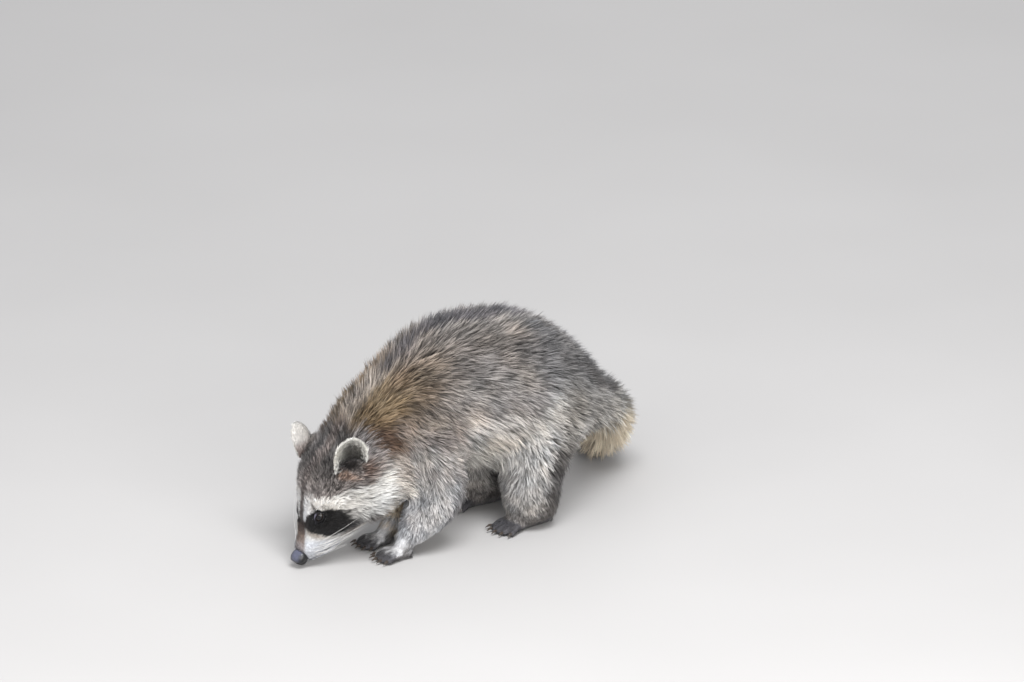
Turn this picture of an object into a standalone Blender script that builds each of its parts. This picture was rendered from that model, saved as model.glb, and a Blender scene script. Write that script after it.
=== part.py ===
"""Young raccoon, life size, standing with its head lowered to forage.

The solids reach out to the tips of the coat. The animal faces -X and its left side is -Y.
Lengths in this file are in millimetres until MM turns them into metres, and the pose is laid
out from a point on the floor under the trunk. At the end everything moves so that the origin
lies under the middle of the whole animal.
"""

import math

import bmesh
import bpy
from mathutils import Matrix, Vector

MM = 0.001

# --- driving dimensions -------------------------------------------------------------------
GAP = 0.35  # air between two pieces that meet
BODY_VOXEL = 3.2
PAW_VOXEL = 1.3
LOFT_SIDES = 28
TOE_SIDES = 12

NOSE_TIP = Vector((-177, -3, 6.5))
HEAD_PITCH = math.radians(52)  # muzzle below the horizontal
HEAD_YAW = math.radians(5)  # muzzle towards the animal's left
HEAD_ROLL = math.radians(4)  # left ear higher than the right one

EYE_RADIUS = 6.5
# Back, up and left of the nose tip, in the head's own axes: the left (1) and right (-1) side.
EYE_CENTRES = {1: (44.6, 20.0, 14.7), -1: (44.8, 11.5, -14.8)}
EAR_ROOTS = {1: (94.0, 36.0, 35.0), -1: (92.0, 29.0, -33.0)}
EAR_LEAN = {1: 0.26, -1: -0.50}  # towards the left
EAR_HEIGHT, EAR_WIDTH, EAR_THICK, EAR_CUP = 31.5, 33.5, 4.6, 8.0
NOSE_LENGTH, NOSE_WIDTH, NOSE_HEIGHT = 13.0, 15.5, 12.5

# Coat colours, as sRGB-like linear values.
GREY_BROWN = (0.20, 0.16, 0.125)
PALE_GREY = (0.42, 0.38, 0.32)
BLACK_SKIN = (0.02, 0.019, 0.02)
HORN = (0.05, 0.042, 0.038)
DARK_PAW = (0.09, 0.082, 0.078)


# --- scene and materials --------------------------------------------------------------------
def clear_scene():
    for obj in list(bpy.data.objects):
        bpy.data.objects.remove(obj, do_unlink=True)


def material(name, colour, roughness, metallic=0.0):
    made = bpy.data.materials.new(name)
    made.use_nodes = True
    shader = made.node_tree.nodes["Principled BSDF"]
    shader.inputs["Base Color"].default_value = (*colour, 1.0)
    shader.inputs["Roughness"].default_value = roughness
    shader.inputs["Metallic"].default_value = metallic
    made.diffuse_color = (*colour, 1.0)
    return made


# --- frames ---------------------------------------------------------------------------------
def head_axes():
    """Unit vectors of the head: forward along the muzzle, left, and up out of the crown."""
    cp, sp = math.cos(HEAD_PITCH), math.sin(HEAD_PITCH)
    cy, sy = math.cos(HEAD_YAW), math.sin(HEAD_YAW)
    forward = Vector((-cp * cy, -cp * sy, -sp))
    left = Vector((sy, -cy, 0))
    up = forward.cross(left)
    roll = Matrix.Rotation(-HEAD_ROLL, 3, forward)
    return forward, roll @ left, roll @ up


FORWARD, LEFT, UP = head_axes()


def in_head(back, up, out=0.0):
    """A point given by its distances behind, above and to the left of the nose tip."""
    return NOSE_TIP - back * FORWARD + up * UP + out * LEFT


# --- lofts ----------------------------------------------------------------------------------
def spline(values, t):
    """Catmull-Rom value at t, which runs from 0 to len(values) - 1. Values are tuples."""
    i = min(int(t), len(values) - 2)
    f = t - i
    last = len(values) - 1
    a, b, c, d = (values[min(max(k, 0), last)] for k in (i - 1, i, i + 1, i + 2))
    return tuple(
        0.5 * (2 * q + (r - p) * f + (2 * p - 5 * q + 4 * r - s) * f * f + (3 * q - p - 3 * r + s) * f**3)
        for p, q, r, s in zip(a, b, c, d)
    )


def section(bm, centre, up, side, sizes, sides, power):
    """One ring of vertices. sizes is (half width, rise above the centre, drop below it)."""
    half, rise, drop = sizes
    ring = []
    for k in range(sides):
        angle = 2 * math.pi * k / sides
        c, s = math.cos(angle), math.sin(angle)
        across = math.copysign(abs(c) ** (2 / power), c) * half
        along = math.copysign(abs(s) ** (2 / power), s) * (rise if s > 0 else drop)
        ring.append(bm.verts.new(centre + across * side + along * up))
    return ring


def loft(bm, stations, reference, steps=4, sides=LOFT_SIDES, power=2.0, domes=(1.0, 1.0)):
    """A closed tube through stations of (x, y, z, half width, rise, drop), ended by domes.

    reference fixes which way a section's rise points; domes say how far each end bulges,
    as a share of the end section's half width.
    """
    count = (len(stations) - 1) * steps
    samples = [spline(stations, k / steps) for k in range(count + 1)]
    centres = [Vector(s[:3]) for s in samples]
    rings = []
    for k, sample in enumerate(samples):
        ahead = centres[min(k + 1, count)] - centres[max(k - 1, 0)]
        tangent = ahead.normalized()
        up = (reference - reference.dot(tangent) * tangent).normalized()
        side = up.cross(tangent)
        ends = []
        if k in (0, count):
            way = -tangent if k == 0 else tangent
            bulge = domes[0 if k == 0 else 1] * sample[3]
            for angle in (30, 55, 75):
                shrink, reach = math.cos(math.radians(angle)), math.sin(math.radians(angle))
                sizes = [shrink * s for s in sample[3:]]
                ends.append(section(bm, centres[k] + reach * bulge * way, up, side, sizes, sides, power))
            ends.append(bm.verts.new(centres[k] + bulge * way))
        ring = section(bm, centres[k], up, side, sample[3:], sides, power)
        rings.append((ring, ends))
    chain = [ring for ring, _ in rings]
    chain = rings[0][1][:3][::-1] + chain + rings[-1][1][:3]
    for a, b in zip(chain, chain[1:]):
        for k in range(sides):
            bm.faces.new((a[k], a[(k + 1) % sides], b[(k + 1) % sides], b[k]))
    for pole, ring in ((rings[0][1][3], chain[0]), (rings[-1][1][3], chain[-1])):
        for k in range(sides):
            bm.faces.new((pole, ring[k], ring[(k + 1) % sides]))


def ball(bm, centre, radii, axes=None, segments=24):
    """An ellipsoid with the given radii along its three axes."""
    turn = Matrix(axes).transposed().to_4x4() if axes else Matrix.Identity(4)
    scale = Matrix.Diagonal((*radii, 1))
    place = Matrix.Translation(centre) @ turn @ scale
    bmesh.ops.create_uvsphere(bm, u_segments=segments, v_segments=segments // 2, radius=1, matrix=place)


def tube_stations(points):
    """Round sections from (x, y, z, radius)."""
    return [(x, y, z, r, r, r) for x, y, z, r in points]


# --- objects --------------------------------------------------------------------------------
def as_object(name, bm):
    """The bmesh, in millimetres, as an object in metres with its faces pointing out."""
    bmesh.ops.recalc_face_normals(bm, faces=bm.faces)
    bm.transform(Matrix.Scale(MM, 4))
    mesh = bpy.data.meshes.new(name)
    bm.to_mesh(mesh)
    bm.free()
    obj = bpy.data.objects.new(name, mesh)
    bpy.context.scene.collection.objects.link(obj)
    return obj


def bake(obj):
    """Replaces obj's mesh by the one its modifiers make."""
    graph = bpy.context.evaluated_depsgraph_get()
    made = bpy.data.meshes.new_from_object(obj.evaluated_get(graph))
    obj.modifiers.clear()
    obj.data = made
    return obj


def copy_of(obj, name):
    made = obj.copy()
    made.data = obj.data.copy()
    made.name = name
    bpy.context.scene.collection.objects.link(made)
    return made


def discard(*objs):
    for obj in objs:
        bpy.data.objects.remove(obj, do_unlink=True)


def fused(obj, voxel, rounds):
    """Joins obj's overlapping shapes into one skin and rounds the creases between them."""
    remesh = obj.modifiers.new("fuse", "REMESH")
    remesh.mode = "VOXEL"
    remesh.voxel_size = voxel * MM
    relax = obj.modifiers.new("relax", "SMOOTH")
    relax.factor = 0.5
    relax.iterations = rounds
    return bake(obj)


def thinned(obj, triangles):
    """Cuts obj down to about that many triangles."""
    count = sum(len(p.vertices) - 2 for p in obj.data.polygons)
    fewer = obj.modifiers.new("thin", "DECIMATE")
    fewer.ratio = min(1.0, triangles / count)
    return bake(obj)


def swollen(obj, by=GAP):
    """A copy of obj whose surface stands out by that many millimetres, used as a cutter."""
    made = copy_of(obj, obj.name + "_swollen")
    push = made.modifiers.new("push", "DISPLACE")
    push.strength = by * MM
    push.mid_level = 0
    return bake(made)


def combine(obj, other, operation):
    step = obj.modifiers.new(operation.lower(), "BOOLEAN")
    step.operation = operation
    step.object = other
    return bake(obj)


def half_space(point, normal, reach=1600.0):
    """A large block that fills the side of a plane to which normal points."""
    way = Vector(normal).normalized()
    turn = way.to_track_quat("Z", "Y").to_matrix().to_4x4()
    place = Matrix.Translation(Vector(point) + way * reach / 2) @ turn
    bm = bmesh.new()
    bmesh.ops.create_cube(bm, size=reach, matrix=place)
    return as_object("half_space", bm)


def kept_side(obj, point, normal):
    """obj, cut by a plane, with what lies on the side that normal points to."""
    block = half_space(point, normal)
    combine(obj, block, "INTERSECT")
    discard(block)
    return obj


# --- body form ------------------------------------------------------------------------------
# Sections of the head: distance behind the nose tip, offsets up and left, half width, rise, drop.
HEAD_SECTIONS = (
    (3, 0.0, 0.0, 8, 7, 8),
    (10, 0.0, 0.4, 12.1, 10, 13),
    (18, 0.0, 1.2, 15.3, 13, 20.5),
    (27, 0.0, 2.2, 18.8, 16, 26.5),
    (38, 2.0, 2.8, 23.2, 19.5, 35),
    (52, 4.0, 3.4, 31.6, 28, 40),
    (66, 5.0, 4.2, 39.8, 35, 42),
    (82, 5.0, 4.6, 47.4, 39, 40),
    (98, 4.0, 4.2, 48.8, 39, 37),
    (112, 3.0, 2.0, 46, 36, 34),
)
# Sections of the neck and trunk: x, z, half width, rise, drop.
TRUNK_SECTIONS = (
    (-118, 98, 40, 40, 34),
    (-95, 108, 46, 53, 42),
    (-65, 117, 51, 68, 52),
    (-25, 125, 58, 86, 66),
    (20, 128, 63, 87, 74),
    (65, 124, 65, 80, 75),
    (105, 113, 61, 62, 60),
    (138, 98, 50, 44, 42),
    (160, 88, 36, 30, 28),
)
TAIL_SECTIONS = (
    (150, 0, 100, 26),
    (166, 3, 92, 27),
    (186, 12, 75, 28),
    (202, 33, 50, 29),
    (213, 62, 30, 29),
    (226, 95, 26, 28),
    (243, 125, 23, 25),
    (259, 148, 15, 15),
)
# Legs: x, y, z, radius, from inside the trunk down to inside the paw.
FORELEG_LEFT = ((-58, -32, 112, 34), (-44, -42, 66, 28), (-60, -42, 42, 24), (-78, -38, 20, 14))
FORELEG_RIGHT = ((-58, 32, 112, 34), (-44, 30, 70, 26), (-50, 12, 43, 18), (-70, 2, 17, 11.5))
HINDLEG_LEFT = ((96, -32, 108, 40), (70, -42, 80, 36), (60, -44, 55, 32), (60, -41, 36, 30), (62, -39, 20, 27))
HINDLEG_RIGHT = ((96, 32, 108, 40), (70, 42, 80, 36), (60, 43, 55, 32), (60, 40, 36, 30), (62, 37, 20, 27))
# What each leg takes of the body: a slightly larger limb that stays off the middle plane.
LIMBS = {
    "foreleg_left": (
        (-58, -45, 112, 32), (-45, -46, 66, 34), (-60, -44, 42, 29), (-78, -39, 18, 20), (-84, -38, -14, 18),
    ),
    "foreleg_right": (
        (-58, 45, 112, 32), (-45, 36, 70, 31), (-51, 14, 43, 24), (-70, 2, 17, 17), (-76, 1, -14, 15),
    ),
    "hindleg_left": (
        (100, -48, 110, 40), (75, -47, 82, 43), (60, -46, 56, 39), (58, -42, 34, 35), (57, -39, 16, 31),
        (57, -39, -14, 29),
    ),
    "hindleg_right": (
        (100, 48, 110, 40), (75, 47, 82, 43), (61, 45, 56, 39), (59, 41, 34, 35), (58, 37, 16, 31),
        (58, 37, -14, 29),
    ),
}


def cheek_ruff(bm, out):
    """The swell of long fur behind the jaw, which gives the head its width."""
    low = 0 if out > 0 else 6  # the head is tilted, so the right ruff hangs lower and closer in
    ball(bm, in_head(84, -9 - low, 39 * out + low), (27, 22, 25), (FORWARD, LEFT, UP))
    ball(bm, in_head(65, 4 - low, 26 * out + low), (20, 17, 19), (FORWARD, LEFT, UP))


def shoulder_fur(bm, side):
    """The fur that carries the neck's outline over to the upper arm; side is the sign of y."""
    ball(bm, Vector((-86, 35 * side, 80)), (24, 17, 27), (Vector((1, 0, 0)), Vector((0, 1, 0)), Vector((0, 0, 1))))


def body_form():
    """Head, neck, trunk, tail and legs as one skin, with no ears, eyes or paws."""
    bm = bmesh.new()
    head = [(*in_head(*row[:3]), *row[3:]) for row in HEAD_SECTIONS]
    loft(bm, head, UP, power=2.1, domes=(0.5, 0.6))
    for out in (-1, 1):
        cheek_ruff(bm, out)
        shoulder_fur(bm, out)
    trunk = [(x, 0, z, half, rise, drop) for x, z, half, rise, drop in TRUNK_SECTIONS]
    loft(bm, trunk, Vector((0, 0, 1)), domes=(0.4, 0.6))
    loft(bm, tube_stations(TAIL_SECTIONS), Vector((0, 0, 1)), domes=(0.4, 1.2))
    for leg in (FORELEG_LEFT, FORELEG_RIGHT, HINDLEG_LEFT, HINDLEG_RIGHT):
        loft(bm, tube_stations(leg), Vector((1, 0, 0)), domes=(0.5, 0.5))
    return fused(as_object("body_form", bm), BODY_VOXEL, rounds=8)


def limb_region(name):
    bm = bmesh.new()
    loft(bm, tube_stations(LIMBS[name]), Vector((1, 0, 0)), steps=2, sides=14, domes=(0.8, 0.2))
    return thinned(fused(as_object(name + "_region", bm), 3.0, rounds=3), 900)


# --- ears, eyes and nose ----------------------------------------------------------------------
def ear_axes(out):
    """Unit vectors of an ear: up to its tip, out of its open side, and across it."""
    rise = (0.86 * UP - 0.80 * FORWARD + EAR_LEAN[out] * LEFT).normalized()
    facing = 0.36 * FORWARD + 0.78 * out * LEFT + 0.25 * UP
    facing = (facing - facing.dot(rise) * rise).normalized()
    return rise, facing, rise.cross(facing)


def ear(name, out, rows=6, columns=8):
    """A cupped, round-tipped shell whose foot runs down into the head."""
    rise, facing, across = ear_axes(out)
    foot = in_head(*EAR_ROOTS[out]) - 9 * rise
    bm = bmesh.new()
    faces = {}
    for front in (1, -1):
        for r in range(rows + 1):
            v = math.sin(math.pi / 2 * r / rows)
            # Wide at the foot, widest a third of the way up, and round at the tip.
            half = EAR_WIDTH / 2 * math.sqrt(max(1 - (max(v - 0.38, 0) / 0.62) ** 3, 0.10))
            half *= 0.86 + 0.14 * min(v / 0.38, 1)
            for c in range(columns + 1):
                u = 2 * c / columns - 1
                cup = -EAR_CUP * (1 - u * u) * (2 * half / EAR_WIDTH) ** 2
                edge = math.sqrt(max(1 - u * u, 0)) * min(1, 3 * (1 - v) + 0.15)
                thick = EAR_THICK / 2 * (0.35 + 0.65 * edge)
                point = foot + v * (EAR_HEIGHT + 9) * rise + u * half * across
                point += (cup + front * thick - 2.0 * v * v) * facing
                faces[front, r, c] = bm.verts.new(point)
    for front in (1, -1):
        for r in range(rows):
            for c in range(columns):
                corners = [faces[front, r + i, c + j] for i, j in ((0, 0), (0, 1), (1, 1), (1, 0))]
                bm.faces.new(corners)
    rim = [(0, c) for c in range(columns)] + [(r, columns) for r in range(rows)]
    rim += [(rows, c) for c in range(columns, 0, -1)] + [(r, 0) for r in range(rows, 0, -1)]
    for a, b in zip(rim, rim[1:] + rim[:1]):
        bm.faces.new((faces[1, *a], faces[1, *b], faces[-1, *b], faces[-1, *a]))
    return as_object(name, bm)


def eye(name, out, radius):
    bm = bmesh.new()
    centre = in_head(*EYE_CENTRES[out])
    ball(bm, centre, (radius, radius, radius), segments=12)
    return as_object(name, bm)


def nose_pad(name, more=0.0):
    """The bare pad at the muzzle's tip: a rounded block with a notch between the nostrils."""
    bm = bmesh.new()
    size = [s / 2 + more for s in (NOSE_LENGTH, NOSE_WIDTH, NOSE_HEIGHT)]
    ball(bm, in_head(3.5, 1.5), size, (FORWARD, LEFT, UP), segments=12)
    return as_object(name, bm)


# --- paws and claws ---------------------------------------------------------------------------
class Paw:
    """A paw's own frame and sizes: ground point of the heel, heading, sole, toes and ankle."""

    def __init__(self, heel, heading, sole, widths, toe, spread, ankle, side):
        self.heel = Vector(heel)
        turn = math.radians(heading)
        self.ahead = Vector((-math.cos(turn), math.sin(turn), 0))
        self.left = Vector((0, 0, 1)).cross(self.ahead)
        self.sole, self.widths, self.toe = sole, widths, toe
        self.spread, self.ankle, self.side = spread, Vector(ankle), side

    def at(self, along, out, height):
        return self.heel + along * self.ahead + out * self.left + Vector((0, 0, height))

    def toes(self):
        """Root, knuckle and tip of each toe, from the animal's left to its right."""
        reach = (0.80, 0.96, 1.0, 0.94, 0.74)
        for k, angle in enumerate(self.spread):
            turn = math.radians(angle)
            out = self.widths[1] * (1 - k / 2) * 0.38
            start = self.at(self.sole - 5, out, 6.0)
            way = math.cos(turn) * self.ahead + math.sin(turn) * self.left
            length = self.toe * reach[k] if self.side > 0 else self.toe * reach[4 - k]
            knuckle = start + way * length * 0.45 + Vector((0, 0, 1.2))
            tip = start + way * length + Vector((0, 0, -2.6))
            yield start, knuckle, tip, way


def forepaw(side, heel, heading, ankle):
    return Paw(heel, heading, 17, (14, 20), 18, (18, 9, 0, -9, -18), ankle, side)


def hindpaw(side, heel, heading, ankle):
    return Paw(heel, heading, 45, (14, 24), 20, (20, 9, 0, -9, -19), ankle, side)


PAWS = {
    "forepaw_left": forepaw(1, (-79, -39, 0), 8, (-76, -39, 24)),
    "forepaw_right": forepaw(-1, (-72, 2, 0), 0, (-68, 2, 20)),
    "hindpaw_left": hindpaw(1, (82, -37, 0), -4, (50, -39, 26)),
    "hindpaw_right": hindpaw(-1, (83, 34, 0), 3, (52, 37, 26)),
}
PAW_OF_LEG = {
    "foreleg_left": "forepaw_left",
    "foreleg_right": "forepaw_right",
    "hindleg_left": "hindpaw_left",
    "hindleg_right": "hindpaw_right",
}


def paw_form(name, triangles=255):
    """Sole, toes and ankle as one skin, cut flat where it stands on the floor."""
    paw = PAWS[name]
    heel, ball_width = (w / 2 for w in paw.widths)
    bm = bmesh.new()
    sole = [
        (*paw.at(0, 0, 6.0), heel, 7, 7.4),
        (*paw.at(paw.sole * 0.5, 0, 6.4), (heel + ball_width) / 2, 7.5, 7.6),
        (*paw.at(paw.sole, 0, 5.4), ball_width, 5.6, 6.4),
    ]
    loft(bm, sole, Vector((0, 0, 1)), sides=20, domes=(0.8, 0.3))
    foot = paw.at(paw.sole * 0.45, 0, 7)
    loft(bm, [(*foot, 8, 8, 8), (*paw.ankle, 8.5, 8.5, 8.5)], Vector((1, 0, 0)), sides=16)
    for start, knuckle, tip, _ in paw.toes():
        toe = [(*start, 3.8, 3.8, 4.4), (*knuckle, 3.5, 3.5, 4.6), (*tip, 3.1, 2.9, 3.9)]
        loft(bm, toe, Vector((0, 0, 1)), steps=3, sides=TOE_SIDES, domes=(0.8, 0.9))
    made = fused(as_object(name, bm), PAW_VOXEL, rounds=2)
    return kept_side(thinned(made, triangles), (0, 0, 0), (0, 0, 1))


def claws(name, paw_object):
    """A curved, tapering claw at each toe's tip, trimmed where it leaves the toe."""
    kind, side = name.split("_")
    cutter = swollen(paw_object)
    for number, (_, _, tip, way) in enumerate(PAWS[name].toes(), 1):
        root = tip + 1.0 * way + Vector((0, 0, 0.6))
        bm = bmesh.new()
        curve = ((-1.2, 0, 1.6), (3.4, 0.2, 1.3), (6.8, -1.4, 0.35))
        rings = []
        for along, rise, radius in curve:
            centre = root + along * way + Vector((0, 0, rise))
            sizes = (0.85 * radius, radius, radius)
            rings.append(section(bm, centre, Vector((0, 0, 1)), way.cross(Vector((0, 0, 1))), sizes, 5, 2))
        for a, b in zip(rings, rings[1:]):
            for k in range(5):
                bm.faces.new((a[k], a[(k + 1) % 5], b[(k + 1) % 5], b[k]))
        bm.faces.new(rings[0])
        bm.faces.new(rings[-1])
        made = as_object(f"claw_{kind[:-3]}_{side}_{number}", bm)
        combine(made, cutter, "DIFFERENCE")
        made.data.materials.append(MATERIALS["horn"])
    discard(cutter)


# --- assembly ---------------------------------------------------------------------------------
HEAD_CUT = (Vector((-119, 0, 98)), Vector((-0.89, 0, -0.45)))
NECK_CUT = (Vector((-82, 0, 111)), Vector((-0.93, 0, -0.37)))
TAIL_CUTS = (
    (Vector((171, 4, 89)), Vector((0.72, 0.26, -0.64))),
    (Vector((211, 56, 33)), Vector((0.33, 0.90, -0.28))),
    (Vector((235, 111, 26)), Vector((0.48, 0.87, -0.08))),
)


def between(obj, near, far):
    """Keeps what lies past plane near and short of plane far, half a gap off each."""
    if near:
        point, way = near
        kept_side(obj, point + way * GAP / 2, way)
    if far:
        point, way = far
        kept_side(obj, point - way * GAP / 2, -way)
    return obj


def build():
    form = body_form()
    fine = thinned(copy_of(form, "fine_form"), 6100)
    plain = thinned(form, 2200)
    kept_side(plain, (0, 0, 0), (0, 0, 1))

    paws = {name: paw_form(name) for name in PAWS}
    regions = {name: limb_region(name) for name in LIMBS}
    for name, region in regions.items():
        leg = combine(copy_of(plain, name), region, "INTERSECT")
        cutter = swollen(paws[PAW_OF_LEG[name]], 2 * GAP)
        combine(leg, cutter, "DIFFERENCE")
        discard(cutter)
        wider = swollen(region)
        combine(plain, wider, "DIFFERENCE")
        combine(fine, wider, "DIFFERENCE")
        discard(wider, region)
        leg.data.materials.append(MATERIALS["pale_coat"])

    neck = between(copy_of(plain, "neck"), (HEAD_CUT[0], -HEAD_CUT[1]), (NECK_CUT[0], -NECK_CUT[1]))
    tails = []
    ends = [*TAIL_CUTS, None]
    for name, near, far in zip(("tail_base", "tail_middle", "tail_tip"), ends, ends[1:]):
        tails.append(between(copy_of(plain, name), near, far))
    trunk = between(plain, (NECK_CUT[0], -NECK_CUT[1]), TAIL_CUTS[0])
    trunk.name = "trunk"
    head = between(fine, HEAD_CUT, None)
    head.name = "head"

    nose = nose_pad("nose")
    socket = nose_pad("nose_socket", GAP)
    combine(head, socket, "DIFFERENCE")
    discard(socket)
    for name, out in (("left", 1), ("right", -1)):
        hollow = eye("eye_hollow", out, EYE_RADIUS + GAP)
        combine(head, hollow, "DIFFERENCE")
        discard(hollow)
        eye("eye_" + name, out, EYE_RADIUS).data.materials.append(MATERIALS["eye"])
    cutter = swollen(head)
    for name, out in (("left", 1), ("right", -1)):
        made = ear("ear_" + name, out)
        combine(made, cutter, "DIFFERENCE")
        made.data.materials.append(MATERIALS["pale_coat"])
    discard(cutter)

    for obj in (head, neck, trunk, *tails):
        obj.data.materials.append(MATERIALS["coat"])
    nose.data.materials.append(MATERIALS["skin"])
    for name, obj in paws.items():
        obj.data.materials.append(MATERIALS["paw"])
        claws(name, obj)


def centre_on_floor():
    """Puts the origin under the middle of the animal's box, and shades the round forms smooth."""
    objs = [o for o in bpy.data.objects if o.type == "MESH"]
    points = [o.matrix_world @ v.co for o in objs for v in o.data.vertices]
    low = Vector([min(p[k] for p in points) for k in range(3)])
    high = Vector([max(p[k] for p in points) for k in range(3)])
    shift = Vector((-(low.x + high.x) / 2, -(low.y + high.y) / 2, -low.z))
    for obj in objs:
        obj.data.transform(Matrix.Translation(shift))
        obj.data.shade_smooth()
        obj.data.set_sharp_from_angle(angle=math.radians(45))


clear_scene()
MATERIALS = {
    "coat": material("grey_brown_coat", GREY_BROWN, 0.9),
    "pale_coat": material("pale_grey_coat", PALE_GREY, 0.9),
    "skin": material("black_nose_skin", BLACK_SKIN, 0.35),
    "paw": material("dark_paw_skin", DARK_PAW, 0.6),
    "horn": material("dark_claw_horn", HORN, 0.35),
    "eye": material("dark_eye", BLACK_SKIN, 0.05),
}
build()
centre_on_floor()
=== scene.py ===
"""Looks of the young raccoon: one skin under a coat of tufted hair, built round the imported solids.

Arrays in this file hold millimetres in the row frame; MM turns them into metres where a mesh
is made. The animal faces -X, its left side is -Y, and Z is up.
"""

import math
from dataclasses import dataclass
from functools import partial
from typing import Callable

import bpy
import numpy as np
from mathutils import Matrix, Vector
from mathutils.bvhtree import BVHTree
from mathutils.kdtree import KDTree


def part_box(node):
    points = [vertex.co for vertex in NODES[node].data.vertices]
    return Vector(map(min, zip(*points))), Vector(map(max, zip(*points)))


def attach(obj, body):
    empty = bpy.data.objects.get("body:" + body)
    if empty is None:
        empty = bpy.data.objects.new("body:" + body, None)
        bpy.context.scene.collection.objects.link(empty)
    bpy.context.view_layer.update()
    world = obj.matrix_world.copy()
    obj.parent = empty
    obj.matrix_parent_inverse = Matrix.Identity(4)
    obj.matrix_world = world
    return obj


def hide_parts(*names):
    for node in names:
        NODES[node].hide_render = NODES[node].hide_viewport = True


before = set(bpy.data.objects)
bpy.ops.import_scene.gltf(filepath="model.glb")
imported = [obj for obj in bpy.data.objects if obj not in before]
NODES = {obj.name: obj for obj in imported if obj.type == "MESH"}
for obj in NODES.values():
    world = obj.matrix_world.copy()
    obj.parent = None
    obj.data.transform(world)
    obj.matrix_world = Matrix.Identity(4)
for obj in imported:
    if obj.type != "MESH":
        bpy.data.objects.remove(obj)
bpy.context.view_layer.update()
MM = 0.001

# --- driving values ---------------------------------------
HULL_VOXEL = 2.2
HULL_PUSH = 0.45  # makes up for what the smoothing takes off
PAW_INSET, EAR_INSET = 0.7, 0.25  # how far their skin lies inside their solids
SKIN_VOXEL = 1.3
SKIN_TRIANGLES = 120000
PIECE_TRIANGLES = 186000  # most triangles in one piece of the coat
PATCH = 0.003  # width of one tuft on the coat's texture map

GROUPS = {
    "head": ["head"],
    "neck": ["neck"],
    "trunk": ["trunk"],
    "foreleg": ["foreleg_left", "foreleg_right"],
    "hindleg": ["hindleg_left", "hindleg_right"],
    "forepaw": ["forepaw_left", "forepaw_right"],
    "hindpaw": ["hindpaw_left", "hindpaw_right"],
    "tail": ["tail_base", "tail_middle", "tail_tip"],
    "ear": ["ear_left", "ear_right"],
}
FLESH = [name for names in GROUPS.values() for name in names]


# --- small helpers ----------------------------------------
def unit(v):
    return v / np.maximum(np.linalg.norm(v, axis=-1, keepdims=True), 1e-9)


def dot(a, b):
    return (a * b).sum(-1)


def ramp(low, high, x):
    """0 below low, 1 above high and a smooth step between; low may be the larger."""
    t = np.clip((x - low) / (high - low), 0, 1)
    return t * t * (3 - 2 * t)


def blend(a, b, share):
    """a where share is 0 and b where it is 1; share has one value for each row."""
    return a + (np.asarray(b) - a) * np.asarray(share)[..., None]


def plain(points, colour):
    """The same colour for every point."""
    return np.tile(np.array(colour, float), (len(points), 1))


def hump(middle, width, x):
    """1 at the middle, falling off smoothly to both sides."""
    return np.exp(-(((x - middle) / width) ** 2))


def along(x, *stops):
    """Colours read off a scale of (place, colour) stops."""
    places = [s[0] for s in stops]
    return np.stack([np.interp(x, places, [s[1][k] for s in stops]) for k in range(3)], -1)


def waves(points, length, seed, count=7):
    """Smooth noise between about -1 and 1 whose swells are roughly length millimetres long."""
    rng = np.random.default_rng(seed)
    total = np.zeros(len(points))
    for _ in range(count):
        way = unit(rng.normal(size=3)) * 2 * math.pi / (length * rng.uniform(0.7, 1.5))
        total += np.sin(points @ way + rng.uniform(0, 2 * math.pi))
    return total / math.sqrt(count / 2) / 1.6


def numbers_of(items, key, width, kind=np.float32):
    """One property of all the items of a mesh, width numbers to a row."""
    flat = np.empty(len(items) * width, kind)
    items.foreach_get(key, flat)
    return flat.reshape(-1, width)


def points_of(mesh):
    return numbers_of(mesh.vertices, "co", 3).astype(float) / MM


def normals_of(mesh):
    return numbers_of(mesh.vertex_normals, "vector", 3).astype(float)


def triangles_of(mesh):
    mesh.calc_loop_triangles()
    return numbers_of(mesh.loop_triangles, "vertices", 3, np.int32)


def edges_of(mesh):
    return numbers_of(mesh.edges, "vertices", 2, np.int32)


def points_tree(points):
    """A search tree that gives back the number of the nearest of the points."""
    tree = KDTree(len(points))
    for k, p in enumerate(points):
        tree.insert(p, k)
    tree.balance()
    return tree


def linked(name, mesh):
    obj = bpy.data.objects.new(name, mesh)
    bpy.context.scene.collection.objects.link(obj)
    return obj


def object_from(name, points, faces):
    """An object from points and a list of faces, each a row of point numbers."""
    mesh = bpy.data.meshes.new(name)
    mesh.from_pydata((np.asarray(points) * MM).tolist(), [], [list(map(int, f)) for f in faces])
    mesh.validate()
    mesh.shade_smooth()
    return linked(name, mesh)


def applied(obj):
    """obj with its modifiers worked into its mesh."""
    graph = bpy.context.evaluated_depsgraph_get()
    mesh = bpy.data.meshes.new_from_object(obj.evaluated_get(graph))
    obj.modifiers.clear()
    obj.data = mesh
    return obj


def thinned(obj, share):
    """obj cut down to about that share of its faces, all of them triangles."""
    fewer = obj.modifiers.new("fewer", "DECIMATE")
    fewer.ratio = min(1.0, share)
    fewer.use_collapse_triangulate = True
    return applied(obj)


def merged(name, shells):
    """One object from loose shells, each given as its points and triangles."""
    counts = [len(points) for points, _ in shells]
    starts = np.cumsum([0, *counts[:-1]])
    points = np.concatenate([points for points, _ in shells])
    return object_from(name, points, np.concatenate([f + s for (_, f), s in zip(shells, starts)]))


def select_only(*objs):
    """Selects objects, the last of them the active one."""
    for other in bpy.context.selected_objects:
        other.select_set(False)
    for obj in objs:
        obj.select_set(True)
    bpy.context.view_layer.objects.active = objs[-1]


def ring_faces(rings, around, start=0, flip=False):
    """Four-sided faces from each ring of points to the next."""
    faces = []
    for r in range(rings - 1):
        for k in range(around):
            j = (k + 1) % around
            a, b = start + r * around, start + (r + 1) * around
            faces.append((a + k, a + j, b + j, b + k) if flip else (a + k, b + k, b + j, a + j))
    return faces


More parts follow.
